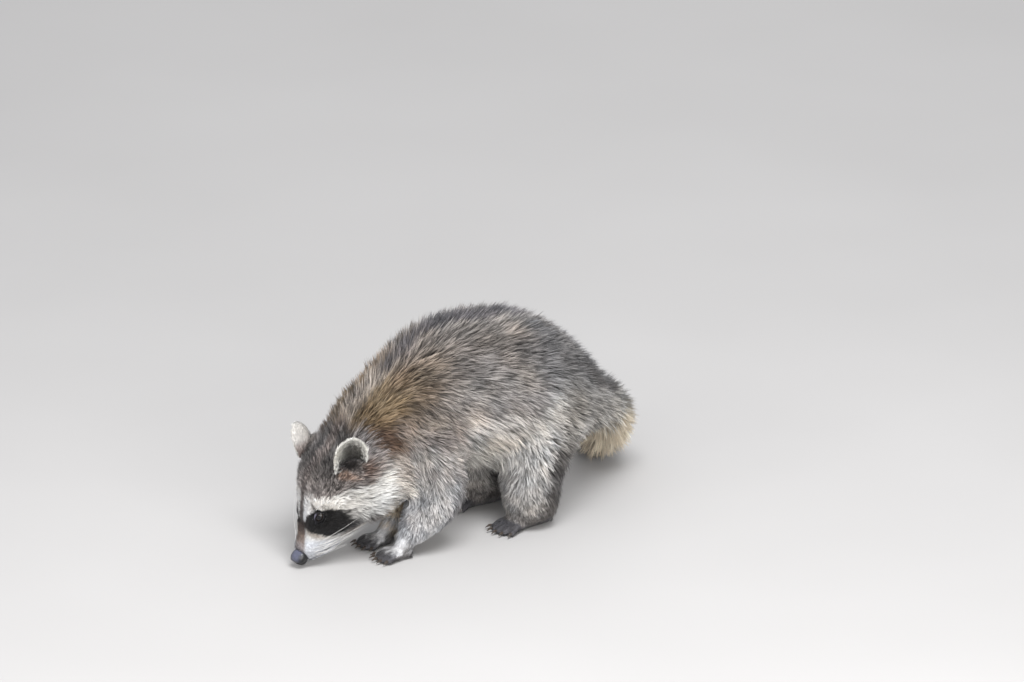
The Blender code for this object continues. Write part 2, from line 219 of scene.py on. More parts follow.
def ball(rings, around):
    """Directions over a ball from its front pole to the one behind, and the faces between them."""
    tilt = np.linspace(0, math.pi, rings + 2)[1:-1]
    angle = np.linspace(0, 2 * math.pi, around, endpoint=False)
    a, b = np.meshgrid(tilt, angle, indexing="ij")
    ways = np.stack([np.cos(a), np.sin(a) * np.cos(b), np.sin(a) * np.sin(b)], -1).reshape(-1, 3)
    ways = np.concatenate([[(1, 0, 0)], ways, [(-1, 0, 0)]])
    last = len(ways) - 1
    faces = ring_faces(rings, around, start=1)
    for k in range(around):
        j = (k + 1) % around
        faces.append((0, 1 + k, 1 + j))
        faces.append((last, last - around + j, last - around + k))
    return ways, faces


def remeshed(obj, voxel, rounds=0):
    step = obj.modifiers.new("one skin", "REMESH")
    step.mode = "VOXEL"
    step.voxel_size = voxel * MM
    if rounds:
        soft = obj.modifiers.new("soften", "SMOOTH")
        soft.factor = 0.5
        soft.iterations = rounds
    return applied(obj)


def relaxed(values, edges, rounds, share=0.7):
    """values of a mesh's points, each drawn towards its neighbours' mean."""
    a = np.concatenate([edges[:, 0], edges[:, 1]])
    b = np.concatenate([edges[:, 1], edges[:, 0]])
    count = np.maximum(np.bincount(a, minlength=len(values)), 1)
    flat = values.reshape(len(values), -1).copy()
    for _ in range(rounds):
        for k in range(flat.shape[1]):
            mean = np.bincount(a, weights=flat[b, k], minlength=len(values)) / count
            flat[:, k] += share * (mean - flat[:, k])
    return flat.reshape(values.shape)


# --- landmarks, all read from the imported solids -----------
def centre_of(name):
    low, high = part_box(name)
    return np.array((low + high) / 2) / MM


WAYS = {"left": 1, "right": -1}
EYES = {side: centre_of("eye_" + side) for side in WAYS}
EYE_RADIUS = float(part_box("eye_left")[1].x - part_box("eye_left")[0].x) / MM / 2
HEAD_PITCH, HEAD_YAW, HEAD_ROLL = (math.radians(a) for a in (52, 5, 4))
PAD_BACK, PAD_UP = 3.5, 1.5  # of the nose pad's middle from the nose tip
EAR_TIP = 13  # length of the far ear's tip that is drawn in


def head_axes():
    """Unit vectors of the head: forward along the muzzle, left, and up out of the crown."""
    cp, sp = math.cos(HEAD_PITCH), math.sin(HEAD_PITCH)
    cy, sy = math.cos(HEAD_YAW), math.sin(HEAD_YAW)
    forward = Vector((-cp * cy, -cp * sy, -sp))
    left = Vector((sy, -cy, 0))
    roll = Matrix.Rotation(-HEAD_ROLL, 3, forward)
    return (np.array(v) for v in (forward, roll @ left, roll @ forward.cross(left)))


FORWARD, LEFT, UP = head_axes()
NOSE_TIP = centre_of("nose") + PAD_BACK * FORWARD - PAD_UP * UP
MIDDLE_Y = centre_of("trunk")[1]
TRUNK_LOW, TRUNK_HIGH = (np.array(corner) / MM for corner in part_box("trunk"))


def head_place(points):
    """Distances behind, above and to the left of the nose tip."""
    away = points - NOSE_TIP
    return -(away @ FORWARD), away @ UP, away @ LEFT


def in_head(back, up, out):
    return NOSE_TIP - back * FORWARD + up * UP + out * LEFT


def ear_axes(out):
    """An ear's unit vectors: to its tip, out of its open side, and across it."""
    lean = 0.26 if out > 0 else -0.50
    rise = unit(0.86 * UP - 0.80 * FORWARD + lean * LEFT)
    facing = 0.36 * FORWARD + 0.78 * out * LEFT + 0.25 * UP
    facing = unit(facing - (facing @ rise) * rise)
    return rise, facing, np.cross(rise, facing)


def node_points(name):
    """A CAD node's points, with the tip of the far ear drawn in by a few millimetres."""
    points = points_of(NODES[name].data)
    if name == "ear_right":
        rise = ear_axes(-1)[0]
        height = points @ rise
        tip = height.max() - EAR_TIP
        points -= 0.32 * np.maximum(height - tip, 0)[:, None] * rise
    return points


def between(one, other, reach=5.0):
    """The middle of the cut where node one meets node other."""
    points, tree = node_points(one), points_tree(node_points(other))
    near = np.array([tree.find(p)[2] < reach for p in points])
    return points[near].mean(0)


def tail_path(samples=80):
    """Points down the middle of the tail, from the rump to its tip."""
    last = between("tail_tip", "tail_middle")
    tip = node_points("tail_tip")
    tip = tip[np.argmax(np.linalg.norm(tip - last, axis=1))]
    knots = np.array([
        between("tail_base", "trunk"),
        node_points("tail_base").mean(0),
        between("tail_base", "tail_middle"),
        node_points("tail_middle").mean(0),
        last,
        node_points("tail_tip").mean(0),
        tip,
    ])
    steps = np.linalg.norm(np.diff(knots, axis=0), axis=1)
    place = np.concatenate([[0], np.cumsum(steps)])
    stations = np.linspace(0, place[-1], samples)
    line = np.stack([np.interp(stations, place, knots[:, k]) for k in range(3)], 1)
    ends = line[[0, -1]].copy()
    for _ in range(30):
        line[1:-1] += 0.5 * ((line[:-2] + line[2:]) / 2 - line[1:-1])
    line[[0, -1]] = ends
    return line


TAIL = tail_path()


def tail_place(points):
    """Share of the way down the tail, the tail's direction there, and the way out from its middle."""
    away = ((points[:, None, :] - TAIL[None]) ** 2).sum(-1)
    nearest = away.argmin(1)
    ways = unit(np.gradient(TAIL, axis=0))
    return nearest / (len(TAIL) - 1), ways[nearest], points - TAIL[nearest]


def trunk_middle():
    """x and the height of the trunk's middle, at stations along it."""
    points = node_points("trunk")
    stations = np.linspace(TRUNK_LOW[0] + 12, TRUNK_HIGH[0] - 12, 14)
    heights = []
    for x in stations:
        z = points[np.abs(points[:, 0] - x) < 14][:, 2]
        heights.append((z.min() + z.max()) / 2)
    return stations, np.array(heights)


MIDDLE_X, MIDDLE_Z = trunk_middle()


def trunk_place(points):
    """Share of the way along the trunk, and degrees round it from the spine to the belly."""
    share = (points[:, 0] - TRUNK_LOW[0]) / (TRUNK_HIGH[0] - TRUNK_LOW[0])
    height = points[:, 2] - np.interp(points[:, 0], MIDDLE_X, MIDDLE_Z)
    return share, np.degrees(np.arctan2(np.abs(points[:, 1] - MIDDLE_Y), height))


def eye_distance(points):
    """Distance from the nearer eye's centre."""
    return np.minimum(*(np.linalg.norm(points - eye, axis=1) for eye in EYES.values()))


def paw_place(points):
    """Share of the way along the nearest paw, 0 at its heel and 1 at the claws."""
    boxes = [np.array(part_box(name)) / MM for name in FLESH if "paw" in name]
    away = np.stack([np.linalg.norm((points - box.mean(0))[:, :2], axis=1) for box in boxes])
    low, high = (np.array([box[k][0] for box in boxes])[away.argmin(0)] for k in (0, 1))
    return (high - points[:, 0]) / (high - low)


# --- coat depth -------------------------------------------
def wanted_depth(points, group):
    """How far the skin lies under the tips of the coat."""
    back, up, out = head_place(points)
    side = np.abs(out)
    height = points[:, 2]
    muzzle = np.interp(back, [0, 18, 40, 60, 85], [1.2, 1.6, 2.6, 6.0, 8.5])
    cheek = ramp(24, 44, side) * ramp(45, 68, back) * (1 - ramp(20, 34, up))
    share, _, _ = tail_place(points)
    head = muzzle + 6.5 * cheek
    head += (1.0 - head) * ramp(21, 12, eye_distance(points))
    depth = {
        "head": head,
        "neck": np.full(len(points), 14.5),
        "trunk": np.full(len(points), 17.0),
        "foreleg": np.interp(height, [8, 25, 50, 80, 110], [1.6, 4.0, 8.5, 12.0, 15.0]),
        "hindleg": np.interp(height, [8, 25, 45, 80, 110], [1.6, 6.0, 11.0, 14.0, 16.0]),
        "forepaw": np.full(len(points), 1.2),
        "hindpaw": np.full(len(points), 1.2),
        "tail": np.interp(share, [0, 0.15, 0.5, 1], [15, 16, 16, 9]),
        "ear": np.full(len(points), 1.0),
    }
    return sum(group[name] * depth[name] for name in GROUPS)


# --- skin -------------------------------------------------
def cad_tree():
    """A search tree over the flesh nodes' points and faces, and each one's group number."""
    places, kinds = [], []
    for number, names in enumerate(GROUPS.values()):
        for name in names:
            points = node_points(name)
            middles = points[triangles_of(NODES[name].data)].mean(1)
            places.append(np.concatenate([points, middles]))
            kinds.append(np.full(len(points) + len(middles), number))
    return points_tree(np.concatenate(places)), np.concatenate(kinds)


CAD_TREE, CAD_KINDS = cad_tree()


def group_weights(points, edges, rounds):
    """For each group, the share of each point that belongs to it, soft at the joins."""
    kinds = np.array([CAD_KINDS[CAD_TREE.find(p)[1]] for p in points])
    table = relaxed(np.eye(len(GROUPS))[kinds], edges, rounds)
    return {name: table[:, k] for k, name in enumerate(GROUPS)}


def joined_nodes(name, nodes, push):
    """One object from several CAD nodes, each with its surface moved out by push."""
    shells = []
    for node in nodes:
        mesh = NODES[node].data
        shells.append((node_points(node) + push * normals_of(mesh), triangles_of(mesh)))
    return merged(name, shells)


def set_points(mesh, points):
    mesh.vertices.foreach_set("co", (points * MM).astype(np.float32).ravel())
    mesh.update()


def joined(objs, name):
    """One object that holds all the meshes, as loose shells."""
    shells = [(points_of(obj.data), triangles_of(obj.data)) for obj in objs]
    for obj in objs:
        bpy.data.objects.remove(obj)
    return merged(name, shells)


def body_under_coat():
    """The body without ears, let in by the coat's depth."""
    body = joined_nodes("under", [n for n in FLESH if not n.startswith("ear")], HULL_PUSH)
    remeshed(body, HULL_VOXEL, rounds=2)
    mesh = body.data
    points, edges = points_of(mesh), edges_of(mesh)
    group = group_weights(points, edges, rounds=6)
    depth = relaxed(wanted_depth(points, group), edges, rounds=12)
    normals = unit(relaxed(normals_of(mesh), edges, rounds=10))
    set_points(mesh, points - normals * depth[:, None])
    return remeshed(body, HULL_VOXEL, rounds=4)


def make_skin():
    """One skin for the whole body, in which paws and ears keep their own forms."""
    body = body_under_coat()
    paws = [n for n in FLESH if "paw" in n]
    fine = [joined_nodes(n + "_fine", [n], -PAW_INSET) for n in paws]
    fine += [joined_nodes(n + "_fine", [n], -EAR_INSET) for n in GROUPS["ear"]]
    skin = joined([body, *fine], "skin")
    remeshed(skin, SKIN_VOXEL, rounds=2)
    return thinned(skin, SKIN_TRIANGLES / (2 * len(skin.data.polygons)))


def make_hull():
    """The outline of the coat's tips: all the flesh as one surface."""
    hull = joined_nodes("hull", FLESH, HULL_PUSH)
    remeshed(hull, HULL_VOXEL, rounds=2)
    return hull


def tree_of(obj):
    points, faces = points_of(obj.data), triangles_of(obj.data)
    return BVHTree.FromPolygons(points.tolist(), faces.tolist())


# --- eye sockets and lids ---------------------------------
LID_RADIUS = EYE_RADIUS + 0.55
EYE_RINGS = (0.40, 0.86)  # radians from the gaze to the rims of the pupil and of the iris
EYE_SHADES = ((0.004, 0.004, 0.005), (0.010, 0.006, 0.004), (0.008, 0.006, 0.006))
APERTURE_HALF_WIDTH, APERTURE_HALF_HEIGHT = 50.0, 29.0  # degrees of the eyeball


def eye_axes(out):
    """An eye's unit vectors: gaze, towards its front corner, and up towards the brow."""
    gaze = unit(0.50 * FORWARD + 0.62 * out * LEFT + 0.60 * UP)
    front = 0.80 * FORWARD - 0.45 * out * LEFT - 0.30 * UP
    front = unit(front - (front @ gaze) * gaze)
    return gaze, front, np.cross(gaze, front) * out


def aperture(angle):
    """Degrees from the gaze to the lids' edge, by the angle round the eye from its front corner."""
    c, s = np.cos(angle), np.sin(angle)
    high = np.where(s > 0, APERTURE_HALF_HEIGHT, 0.86 * APERTURE_HALF_HEIGHT)
    power = 1.7
    return (np.abs(c / APERTURE_HALF_WIDTH) ** power + np.abs(s / high) ** power) ** (-1 / power)


def round_eye(points, side):
    """Distance from the eye's centre, degrees off the gaze, and the angle round it."""
    gaze, front, brow = eye_axes(WAYS[side])
    away = points - EYES[side]
    distance = np.linalg.norm(away, axis=1)
    off = np.degrees(np.arccos(np.clip(dot(away, gaze) / np.maximum(distance, 1e-6), -1, 1)))
    return distance, off, np.arctan2(away @ brow, away @ front)


def open_sockets(points):
    """Skin points, sunk behind each eyeball in its opening and level with the lids round it."""
    points = points.copy()
    for side in EYES:
        distance, off, angle = round_eye(points, side)
        edge = aperture(angle)
        inside = (distance < LID_RADIUS + 9) & (off < 100)
        level = LID_RADIUS - 0.1 + 0.03 * np.maximum(off - edge, 0)
        sunk = ramp(14, 5, off - edge)
        goal = level * (1 - sunk) + (EYE_RADIUS - 1.6) * sunk
        share = inside * ramp(52, 22, off - edge)
        share = np.where(distance < goal, np.maximum(share, inside * 1.0), share)
        moved = distance + (goal - distance) * share
        away = (points - EYES[side]) / np.maximum(distance, 1e-6)[:, None]
        points += away * (moved - distance)[:, None]
    return points


def lid_shell(side, around=56):
    """Both lids of one eye as a shell over the eyeball, with a rounded lip at the opening."""
    gaze, front, brow = eye_axes(WAYS[side])
    angle = np.linspace(0, 2 * math.pi, around, endpoint=False)
    edge = aperture(angle)
    profile = ((0.0, -0.75), (-1.5, -0.45), (0.5, -0.1), (4, 0.05), (9, 0.0), (16, -0.15), (25, -0.5))
    points = []
    for off, raise_by in profile:
        tilt = np.radians(edge + off)
        across = np.cos(angle)[:, None] * front + np.sin(angle)[:, None] * brow
        way = np.cos(tilt)[:, None] * gaze + np.sin(tilt)[:, None] * across
        points.append(EYES[side] + (LID_RADIUS + raise_by) * way)
    faces = ring_faces(len(profile), around, flip=side == "right")
    return object_from("lids_" + side, np.concatenate(points), faces)


# --- lie of the coat --------------------------------------
def lie_of_coat(points, normals, edges, group):
    """A unit vector at each skin point, along the skin, the way the hair lies."""
    _, up, out = head_place(points)
    side = np.sign(points[:, 1] - MIDDLE_Y)
    share, round_trunk = trunk_place(points)
    flank = ramp(15, 95, round_trunk) * (1 - 0.5 * ramp(140, 180, round_trunk))
    hip = ramp(0.55, 0.8, share)
    shoulder = ramp(0.30, 0.12, share) * ramp(40, 90, round_trunk)
    trunk = np.stack([
        1.0 - 0.25 * flank - 0.30 * shoulder,
        0.30 * side * ramp(8, 30, round_trunk) * ramp(80, 45, round_trunk),
        -0.42 * flank - 0.20 * hip * flank - 0.35 * shoulder - 0.2 * hip,
    ], 1)
    face = -FORWARD + LEFT * (0.75 * np.clip(out / 45, -1, 1))[:, None]
    face = face - UP * (0.55 * ramp(10, 42, np.abs(out)) * ramp(30, 10, up))[:, None]
    neck = np.stack([
        np.full(len(points), 0.85),
        0.15 * side * ramp(90, 120, np.abs(points[:, 1])),
        0.35 - 0.75 * ramp(155, 105, points[:, 2]),
    ], 1)
    _, tail_way, _ = tail_place(points)
    rise = np.where((out > 0)[:, None], ear_axes(1)[0], ear_axes(-1)[0])
    whole = np.ones((len(points), 1))
    low_leg = ramp(95, 50, points[:, 2])[:, None]
    ways = {
        "head": face,
        "neck": neck,
        "trunk": trunk,
        "foreleg": low_leg * (0.12, 0, -1) + (1 - low_leg) * (0.8, 0, -1),
        "hindleg": low_leg * (0.42, 0, -1) + (1 - low_leg) * (0.85, 0, -1),
        "forepaw": whole * (-1, 0, -0.35),
        "hindpaw": whole * (-1, 0, -0.35),
        "tail": tail_way,
        "ear": rise,
    }
    flow = sum(unit(ways[name]) * group[name][:, None] for name in GROUPS)
    for eye in EYES.values():
        away = points - eye
        flow += 1.6 * unit(away) * ramp(14, 8, np.linalg.norm(away, axis=1))[:, None]
    for _ in range(3):
        flow = relaxed(flow, edges, rounds=6)
        flow = unit(flow - normals * dot(flow, normals)[:, None])
    return flow


# --- markings ---------------------------------------------
SLATE = (0.112, 0.104, 0.110)
WHITE = (0.730, 0.720, 0.700)
BLACK = (0.0045, 0.004, 0.0045)
RED_BROWN = (0.160, 0.085, 0.055)
# Straw of the tail's underside, partly painted light.
STRAW = (0.820, 0.710, 0.540)
TAIL_DARK = (0.060, 0.054, 0.052)
PAW_GREY = (0.150, 0.144, 0.146)
LID_BLACK = (0.006, 0.0055, 0.006)
# Painted reflection of the sky on the bare skin under the eyes.
LID_SKY_REFLECTION = (0.150, 0.142, 0.185)
FORELEG_X = np.mean(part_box("foreleg_left"), axis=0)[0] / MM
# Where the dark rear of the hind legs starts, dark fur with painted shade in its fringe: height, x.
DARK_REAR = ((15, 3), (45, 8), (60, 9), (75, 13), (90, 23), (105, 27), (125, 33))


def blotched(colour, points, length, seed, strength):
    """Colours made lighter and warmer in some places and darker in others."""
    change = strength * waves(points, length, seed)[:, None]
    return colour * (1 + change) * (1 + 0.12 * change * np.array((1, 0, -1)))


def trunk_colour(points):
    """Slate spine, grizzled grey flanks, golden-brown shoulders and a pale belly."""
    share, degrees = trunk_place(points)
    bend = degrees + 5 * waves(points, 40, 11)
    middle = along(
        bend, (0, SLATE), (6, SLATE), (12, (0.225, 0.207, 0.192)), (20, (0.185, 0.167, 0.154)),
        (38, (0.132, 0.119, 0.111)), (52, (0.165, 0.148, 0.137)), (68, (0.208, 0.194, 0.183)),
        (84, (0.235, 0.222, 0.216)), (100, (0.250, 0.230, 0.217)), (118, (0.460, 0.430, 0.400)),
        (150, (0.520, 0.490, 0.440)),
    )
    front = along(
        bend, (0, SLATE), (7, SLATE), (14, (0.205, 0.172, 0.148)), (24, (0.205, 0.155, 0.112)),
        (38, (0.172, 0.123, 0.078)), (52, (0.150, 0.104, 0.063)), (68, (0.150, 0.106, 0.068)),
        (84, (0.160, 0.120, 0.090)), (100, (0.170, 0.134, 0.110)), (120, (0.215, 0.180, 0.155)),
        (150, (0.400, 0.350, 0.300)),
    )
    colour = blend(middle, front, ramp(0.32, 0.10, share))
    colour = blotched(colour, points, 30, 12, 0.20)
    upper = ramp(8, 18, degrees) * ramp(84, 66, degrees) * ramp(0.50, 0.64, share)
    colour = blend(colour, (0.128, 0.125, 0.126), 0.85 * upper)
    dark = ramp(0.66, 0.80, share) * hump(70, 15, degrees)
    colour = blend(colour, (0.055, 0.049, 0.047), 0.9 * dark)
    low = ramp(80, 92, degrees) * ramp(0.60, 0.75, share)
    colour = blend(colour, (0.270, 0.262, 0.245), 0.7 * low)
    top = ramp(0.76, 0.88, share) * ramp(5, 14, degrees) * ramp(62, 50, degrees)
    return blend(colour, (0.052, 0.050, 0.050), 0.9 * top)


def neck_colour(points):
    """Golden-brown nape with a pale ridge, and paler fur down to the throat."""
    side = np.abs(points[:, 1] - MIDDLE_Y)
    height = points[:, 2] + 4 * waves(points, 22, 15)
    colour = along(
        height, (40, (0.36, 0.33, 0.30)), (66, (0.47, 0.45, 0.42)), (84, (0.34, 0.305, 0.275)),
        (97, (0.35, 0.305, 0.265)), (107, (0.25, 0.19, 0.145)), (117, (0.130, 0.090, 0.058)),
        (132, (0.128, 0.084, 0.044)), (148, (0.182, 0.128, 0.070)), (165, (0.195, 0.146, 0.092)),
    )
    colour = blotched(colour, points, 24, 16, 0.18)
    ridge = ramp(14, 8, side) * ramp(125, 140, height)
    colour = blend(colour, (0.330, 0.285, 0.245), 0.8 * ridge)
    behind_ear = ramp(18, 9, np.hypot(side - 31, points[:, 2] - 116))
    return blend(colour, (0.085, 0.048, 0.030), 0.9 * behind_ear)


# Edges of the mask: places across the face from its middle line, and the sum there of the
# distances behind and above the nose tip.
MASK_ACROSS = (4.4, 8, 11.5, 16, 20.3, 24, 26.6, 32.9, 37.4, 40.8, 43.2, 45)
MASK_TOP = (50.5, 60.6, 65.6, 70.2, 73.6, 75.5, 75.8, 75.6, 75.0, 71.0, 65.0, 59)
MASK_LOW = (47.0, 44.0, 41.5, 39.8, 37.5, 33.4, 35.6, 45.0, 50.0, 53.5, 56.5, 59)
# Lower edge of the dark crown, in the same measures.
CROWN_ACROSS = (0, 12, 21, 25, 29, 35, 41, 47, 52, 56)
CROWN_LOW = (85, 87, 88.5, 90, 93.5, 97.5, 102.5, 106, 102, 97)
# How pale the back of the crown is, by the place across.
NAPE_ACROSS = (0, 7, 14, 20, 25, 31, 37, 43, 52)
NAPE_PALE = (0.90, 0.80, 0.74, 0.95, 1.4, 1.6, 2.1, 2.4, 1.4)
# How far the face's middle line lies to the right of the head's, by the distance behind the nose.
LEAN_BACK = (12, 18, 24, 30, 36, 47, 52, 57, 62, 75, 100)
LEAN_RIGHT = (0, 1.2, 2.0, 3.2, 4.2, 4.9, 5.7, 7.0, 8.5, 7, 0)


def face_place(points):
    """Distances behind and above the nose tip, and to the left of the face's middle line."""
    back, up, out = head_place(points)
    lean = np.interp(back, LEAN_BACK, LEAN_RIGHT)
    return back, up, out + lean * ramp(28, 6, np.abs(out))


def below_eye(points):
    """1 on the bare crescent of skin under each eye, towards its front corner."""
    found = np.zeros(len(points))
    for side in EYES:
        distance, off, angle = round_eye(points, side)
        beyond = off - aperture(angle)
        crescent = ramp(2, 7, beyond) * ramp(25, 17, beyond) * ramp(1.3, 0.85, np.abs(angle + 0.75))
        found = np.maximum(found, crescent * (distance < LID_RADIUS + 4))
    return found


def near_line(place, start, end, radius):
    """1 at places close to the line between two others, and 0 beyond the radius."""
    start, way = np.array(start), np.array(end) - np.array(start)
    share = np.clip((place - start) @ way / (way @ way), 0, 1)
    away = np.linalg.norm(place - start - share[:, None] * way, axis=1)
    return ramp(1.35 * radius, 0.55 * radius, away)


def with_crown(colour, points, face):
    """The grizzled crown above the white brow, and brown sides of the nape."""
    _, up, side, brow, wander = face
    above = brow - np.interp(side, CROWN_ACROSS, CROWN_LOW)
    crown = ramp(-3.5, 4.5, above + 2.5 * wander + 1.5 * waves(points, 4, 22)) * ramp(-6, 8, up)
    shades = along(
        brow, (82, (0.290, 0.262, 0.252)), (95, (0.215, 0.190, 0.183)), (104, (0.160, 0.138, 0.129)),
        (113, (0.122, 0.103, 0.094)), (124, (0.082, 0.069, 0.063)), (142, (0.100, 0.091, 0.090)),
    )
    shades = shades * (1 + 0.9 * ramp(20, 8, side) * ramp(112, 102, brow))[:, None]
    paler = ramp(103, 116, brow) * (np.interp(side, NAPE_ACROSS, NAPE_PALE) - 1)
    shades = shades * (1 + paler)[:, None]
    shades = blend(shades, (0.095, 0.058, 0.040), ramp(40, 46, side) * ramp(116, 124, brow))
    colour = blend(colour, shades, 0.96 * crown)
    nape = ramp(47, 55, side) * ramp(96, 105, brow) * ramp(124, 116, brow)
    return blend(colour, (0.180, 0.108, 0.068), 0.85 * nape)


def with_lower_face(colour, face):
    """Grey throat and corner of the jaw, bluish muzzle, and yellowish fur under the mask."""
    back, up, side, brow, _ = face
    throat = ramp(-12, -24, up) * ramp(46, 62, back)
    colour = blend(colour, (0.36, 0.31, 0.27), 0.8 * throat)
    jaw = near_line(np.stack([back, up, side], 1), (37, -15, 22), (64, -18, 50), 10)
    colour = blend(colour, (0.21, 0.18, 0.165), 0.88 * jaw)
    muzzle = ramp(36, 26, brow) * ramp(3, 8, side) * ramp(25, 20, side)
    colour = blend(colour, (0.68, 0.70, 0.74), muzzle)
    below = np.interp(side, MASK_ACROSS, MASK_LOW) - brow
    under = ramp(9, 1, below) * ramp(-4, 0, below) * ramp(4, 9, side) * ramp(26, 16, side)
    return blend(colour, (0.34, 0.29, 0.24), 0.85 * under)


def with_stripe(colour, face):
    """The brown bridge of the nose, and the dark stripe that carries on up the forehead."""
    back, up, side, brow, wander = face
    bridge = ramp(8.4, 4.8, side + 0.7 * wander) * ramp(56, 50, brow) * ramp(2, 6, up)
    shades = along(
        back, (5, (0.16, 0.15, 0.165)), (9, (0.34, 0.32, 0.34)), (12, (0.40, 0.36, 0.36)),
        (17, (0.27, 0.215, 0.19)), (22, (0.22, 0.16, 0.128)), (26, (0.12, 0.087, 0.075)),
        (31, (0.075, 0.05, 0.04)),
    )
    colour = blend(colour, shades, bridge)
    width = np.interp(back, [30, 36, 46, 56, 70], [4.4, 3.3, 3.0, 3.4, 5.5])
    stripe = ramp(1.2, -0.9, side - width + 0.5 * wander) * ramp(44, 52, brow)
    shades = along(
        back, (34, (0.075, 0.058, 0.052)), (46, (0.16, 0.13, 0.122)), (58, (0.19, 0.16, 0.15))
    )
    return blend(colour, shades, 0.95 * stripe)


def with_mask(colour, face):
    """The mask, from beside the bridge through the eye and down over the cheek, and a streak.

    The streak runs up from the mask, between the white stripe and the brow.
    """
    _, up, side, brow, wander = face
    low, top = (np.interp(side, MASK_ACROSS, edge) for edge in (MASK_LOW, MASK_TOP))
    mask = ramp(-1.2, 1.6, top - brow + 0.8 * wander) * ramp(-1.4, 1.8, brow - low + wander)
    mask = mask * ramp(2.6, 5.2, side) * ramp(43, 34, side + 2 * wander) ** 0.7 * ramp(-26, -18, up)
    shades = along(
        side, (5, (0.030, 0.022, 0.020)), (12, BLACK), (36, BLACK), (44, (0.05, 0.045, 0.04))
    )
    colour = blend(colour, shades, 0.985 * mask)
    streak = hump(15.4, 1.3, side + 0.3 * (brow - 76)) * ramp(66, 71, brow) * ramp(85, 78, brow)
    return blend(colour, (0.10, 0.085, 0.08), 0.8 * streak)


def with_ear_roots(colour, points):
    """Painted shade in the hollows before the ears, and red-brown tufts at their roots."""
    back, up, _ = face_place(points)
    place = np.stack([back, up, np.abs(head_place(points)[2])], 1)
    root = near_line(place, (84, 37.5, 31), (93, 25.5, 46), 5.5)
    colour = blend(colour, (0.27, 0.17, 0.12), 0.8 * root)
    # Painted shade: near black in the hollow where each ear meets the head.
    hollow = near_line(place, (95.5, 37.0, 31.5), (99.5, 28.5, 43.5), 5.6)
    colour = blend(colour, (0.012, 0.009, 0.008), hollow)
    rear = near_line(place, (106, 24.5, 45), (95, 16, 51), 8)
    return blend(colour, RED_BROWN, 0.8 * rear)


def head_colour(points):
    """The face: black mask, white brow and muzzle, dark central stripe and dark crown."""
    back, up, out = face_place(points)
    side = np.abs(out)
    brow = back + up  # grows from the lips over the eyes to the crown
    wander = waves(points, 8, 21)
    face = back, up, side, brow, wander
    colour = blend(plain(points, WHITE), (0.62, 0.61, 0.585), ramp(34, 46, side))
    colour = blend(colour, (0.88, 0.86, 0.84), ramp(38, 14, side) * ramp(50, 58, brow))
    colour = with_crown(colour, points, face)
    colour = with_lower_face(colour, face)
    colour = with_stripe(colour, face)
    colour = with_mask(colour, face)
    # Painted sky reflection on the bare crescent under each eye.
    colour = blend(colour, LID_SKY_REFLECTION, 0.75 * below_eye(points))
    lips = hump(-3.0, 0.8, up + 0.22 * back) * ramp(34, 26, back)
    colour = blend(colour, (0.03, 0.022, 0.022), 0.8 * lips)
    return with_ear_roots(colour, points)


def ear_colour(points, normals):
    """Dark inside with a pale rim, and white-haired behind."""
    _, _, out = head_place(points)
    colour = np.zeros_like(points)
    for name, way in WAYS.items():
        mine = out * way > 0
        if not mine.any():
            continue
        rise, facing, across = ear_axes(way)
        shape = node_points("ear_" + name)
        height, place = shape @ rise, shape @ across
        low, high = height.min() + 9, height.max()
        v = (points[mine] @ rise - low) / (high - low)
        u = (points[mine] @ across - (place.max() + place.min()) / 2) / (np.ptp(place) / 2)
        edge = np.sqrt((u - 0.06 * way) ** 2 + np.maximum(v - 0.2, 0) ** 2 / 0.62)
        rim = ramp(0.60, 0.90, edge + 0.12 * waves(points[mine], 3, 25))
        inner = along(
            v, (0, (0.012, 0.009, 0.008)), (0.25, (0.022, 0.020, 0.018)),
            (0.55, (0.10, 0.096, 0.086)), (0.9, (0.13, 0.125, 0.112)),
        )
        inner = blend(inner, (0.36, 0.36, 0.33), ramp(0.0, -0.75, u * way) * ramp(0.1, 0.4, v))
        inner = blend(inner, (0.74, 0.73, 0.69), rim)
        outer = along(
            v, (0, (0.13, 0.10, 0.09)), (0.2, (0.32, 0.28, 0.26)),
            (0.4, (0.50, 0.48, 0.46)), (1, (0.56, 0.545, 0.52)),
        )
        front = ramp(-0.15, 0.15, normals[mine] @ facing)
        colour[mine] = blend(outer, inner, front)
    return colour


def foreleg_colour(points):
    """Pale grey, with a darker rear and a yellowish inner side, partly own colour and partly painted
    light.
    """
    x, y, height = points.T
    colour = along(
        height + 5 * waves(points, 25, 31), (8, (0.50, 0.50, 0.51)), (30, (0.44, 0.44, 0.45)),
        (50, (0.44, 0.435, 0.44)), (68, (0.34, 0.33, 0.32)), (80, (0.34, 0.315, 0.30)),
        (96, (0.35, 0.325, 0.30)), (112, (0.235, 0.205, 0.19)), (135, (0.22, 0.19, 0.16)),
    )
    colour = blotched(colour, points, 16, 32, 0.18)
    behind = FORELEG_X + 0.45 * (height - 45)  # where the leg's darker rear starts
    rear = ramp(behind, behind + 12, x) * ramp(88, 74, height)
    colour = blend(colour, (0.15, 0.14, 0.14), 0.8 * rear)
    # Yellowish inner side: partly its own fur, partly painted light, brightened where the leg stands
    # in shade.
    inner = ramp(14, 4, np.abs(y - MIDDLE_Y)) * ramp(70, 40, height)
    return blend(colour, (0.86, 0.69, 0.48), 0.9 * inner)


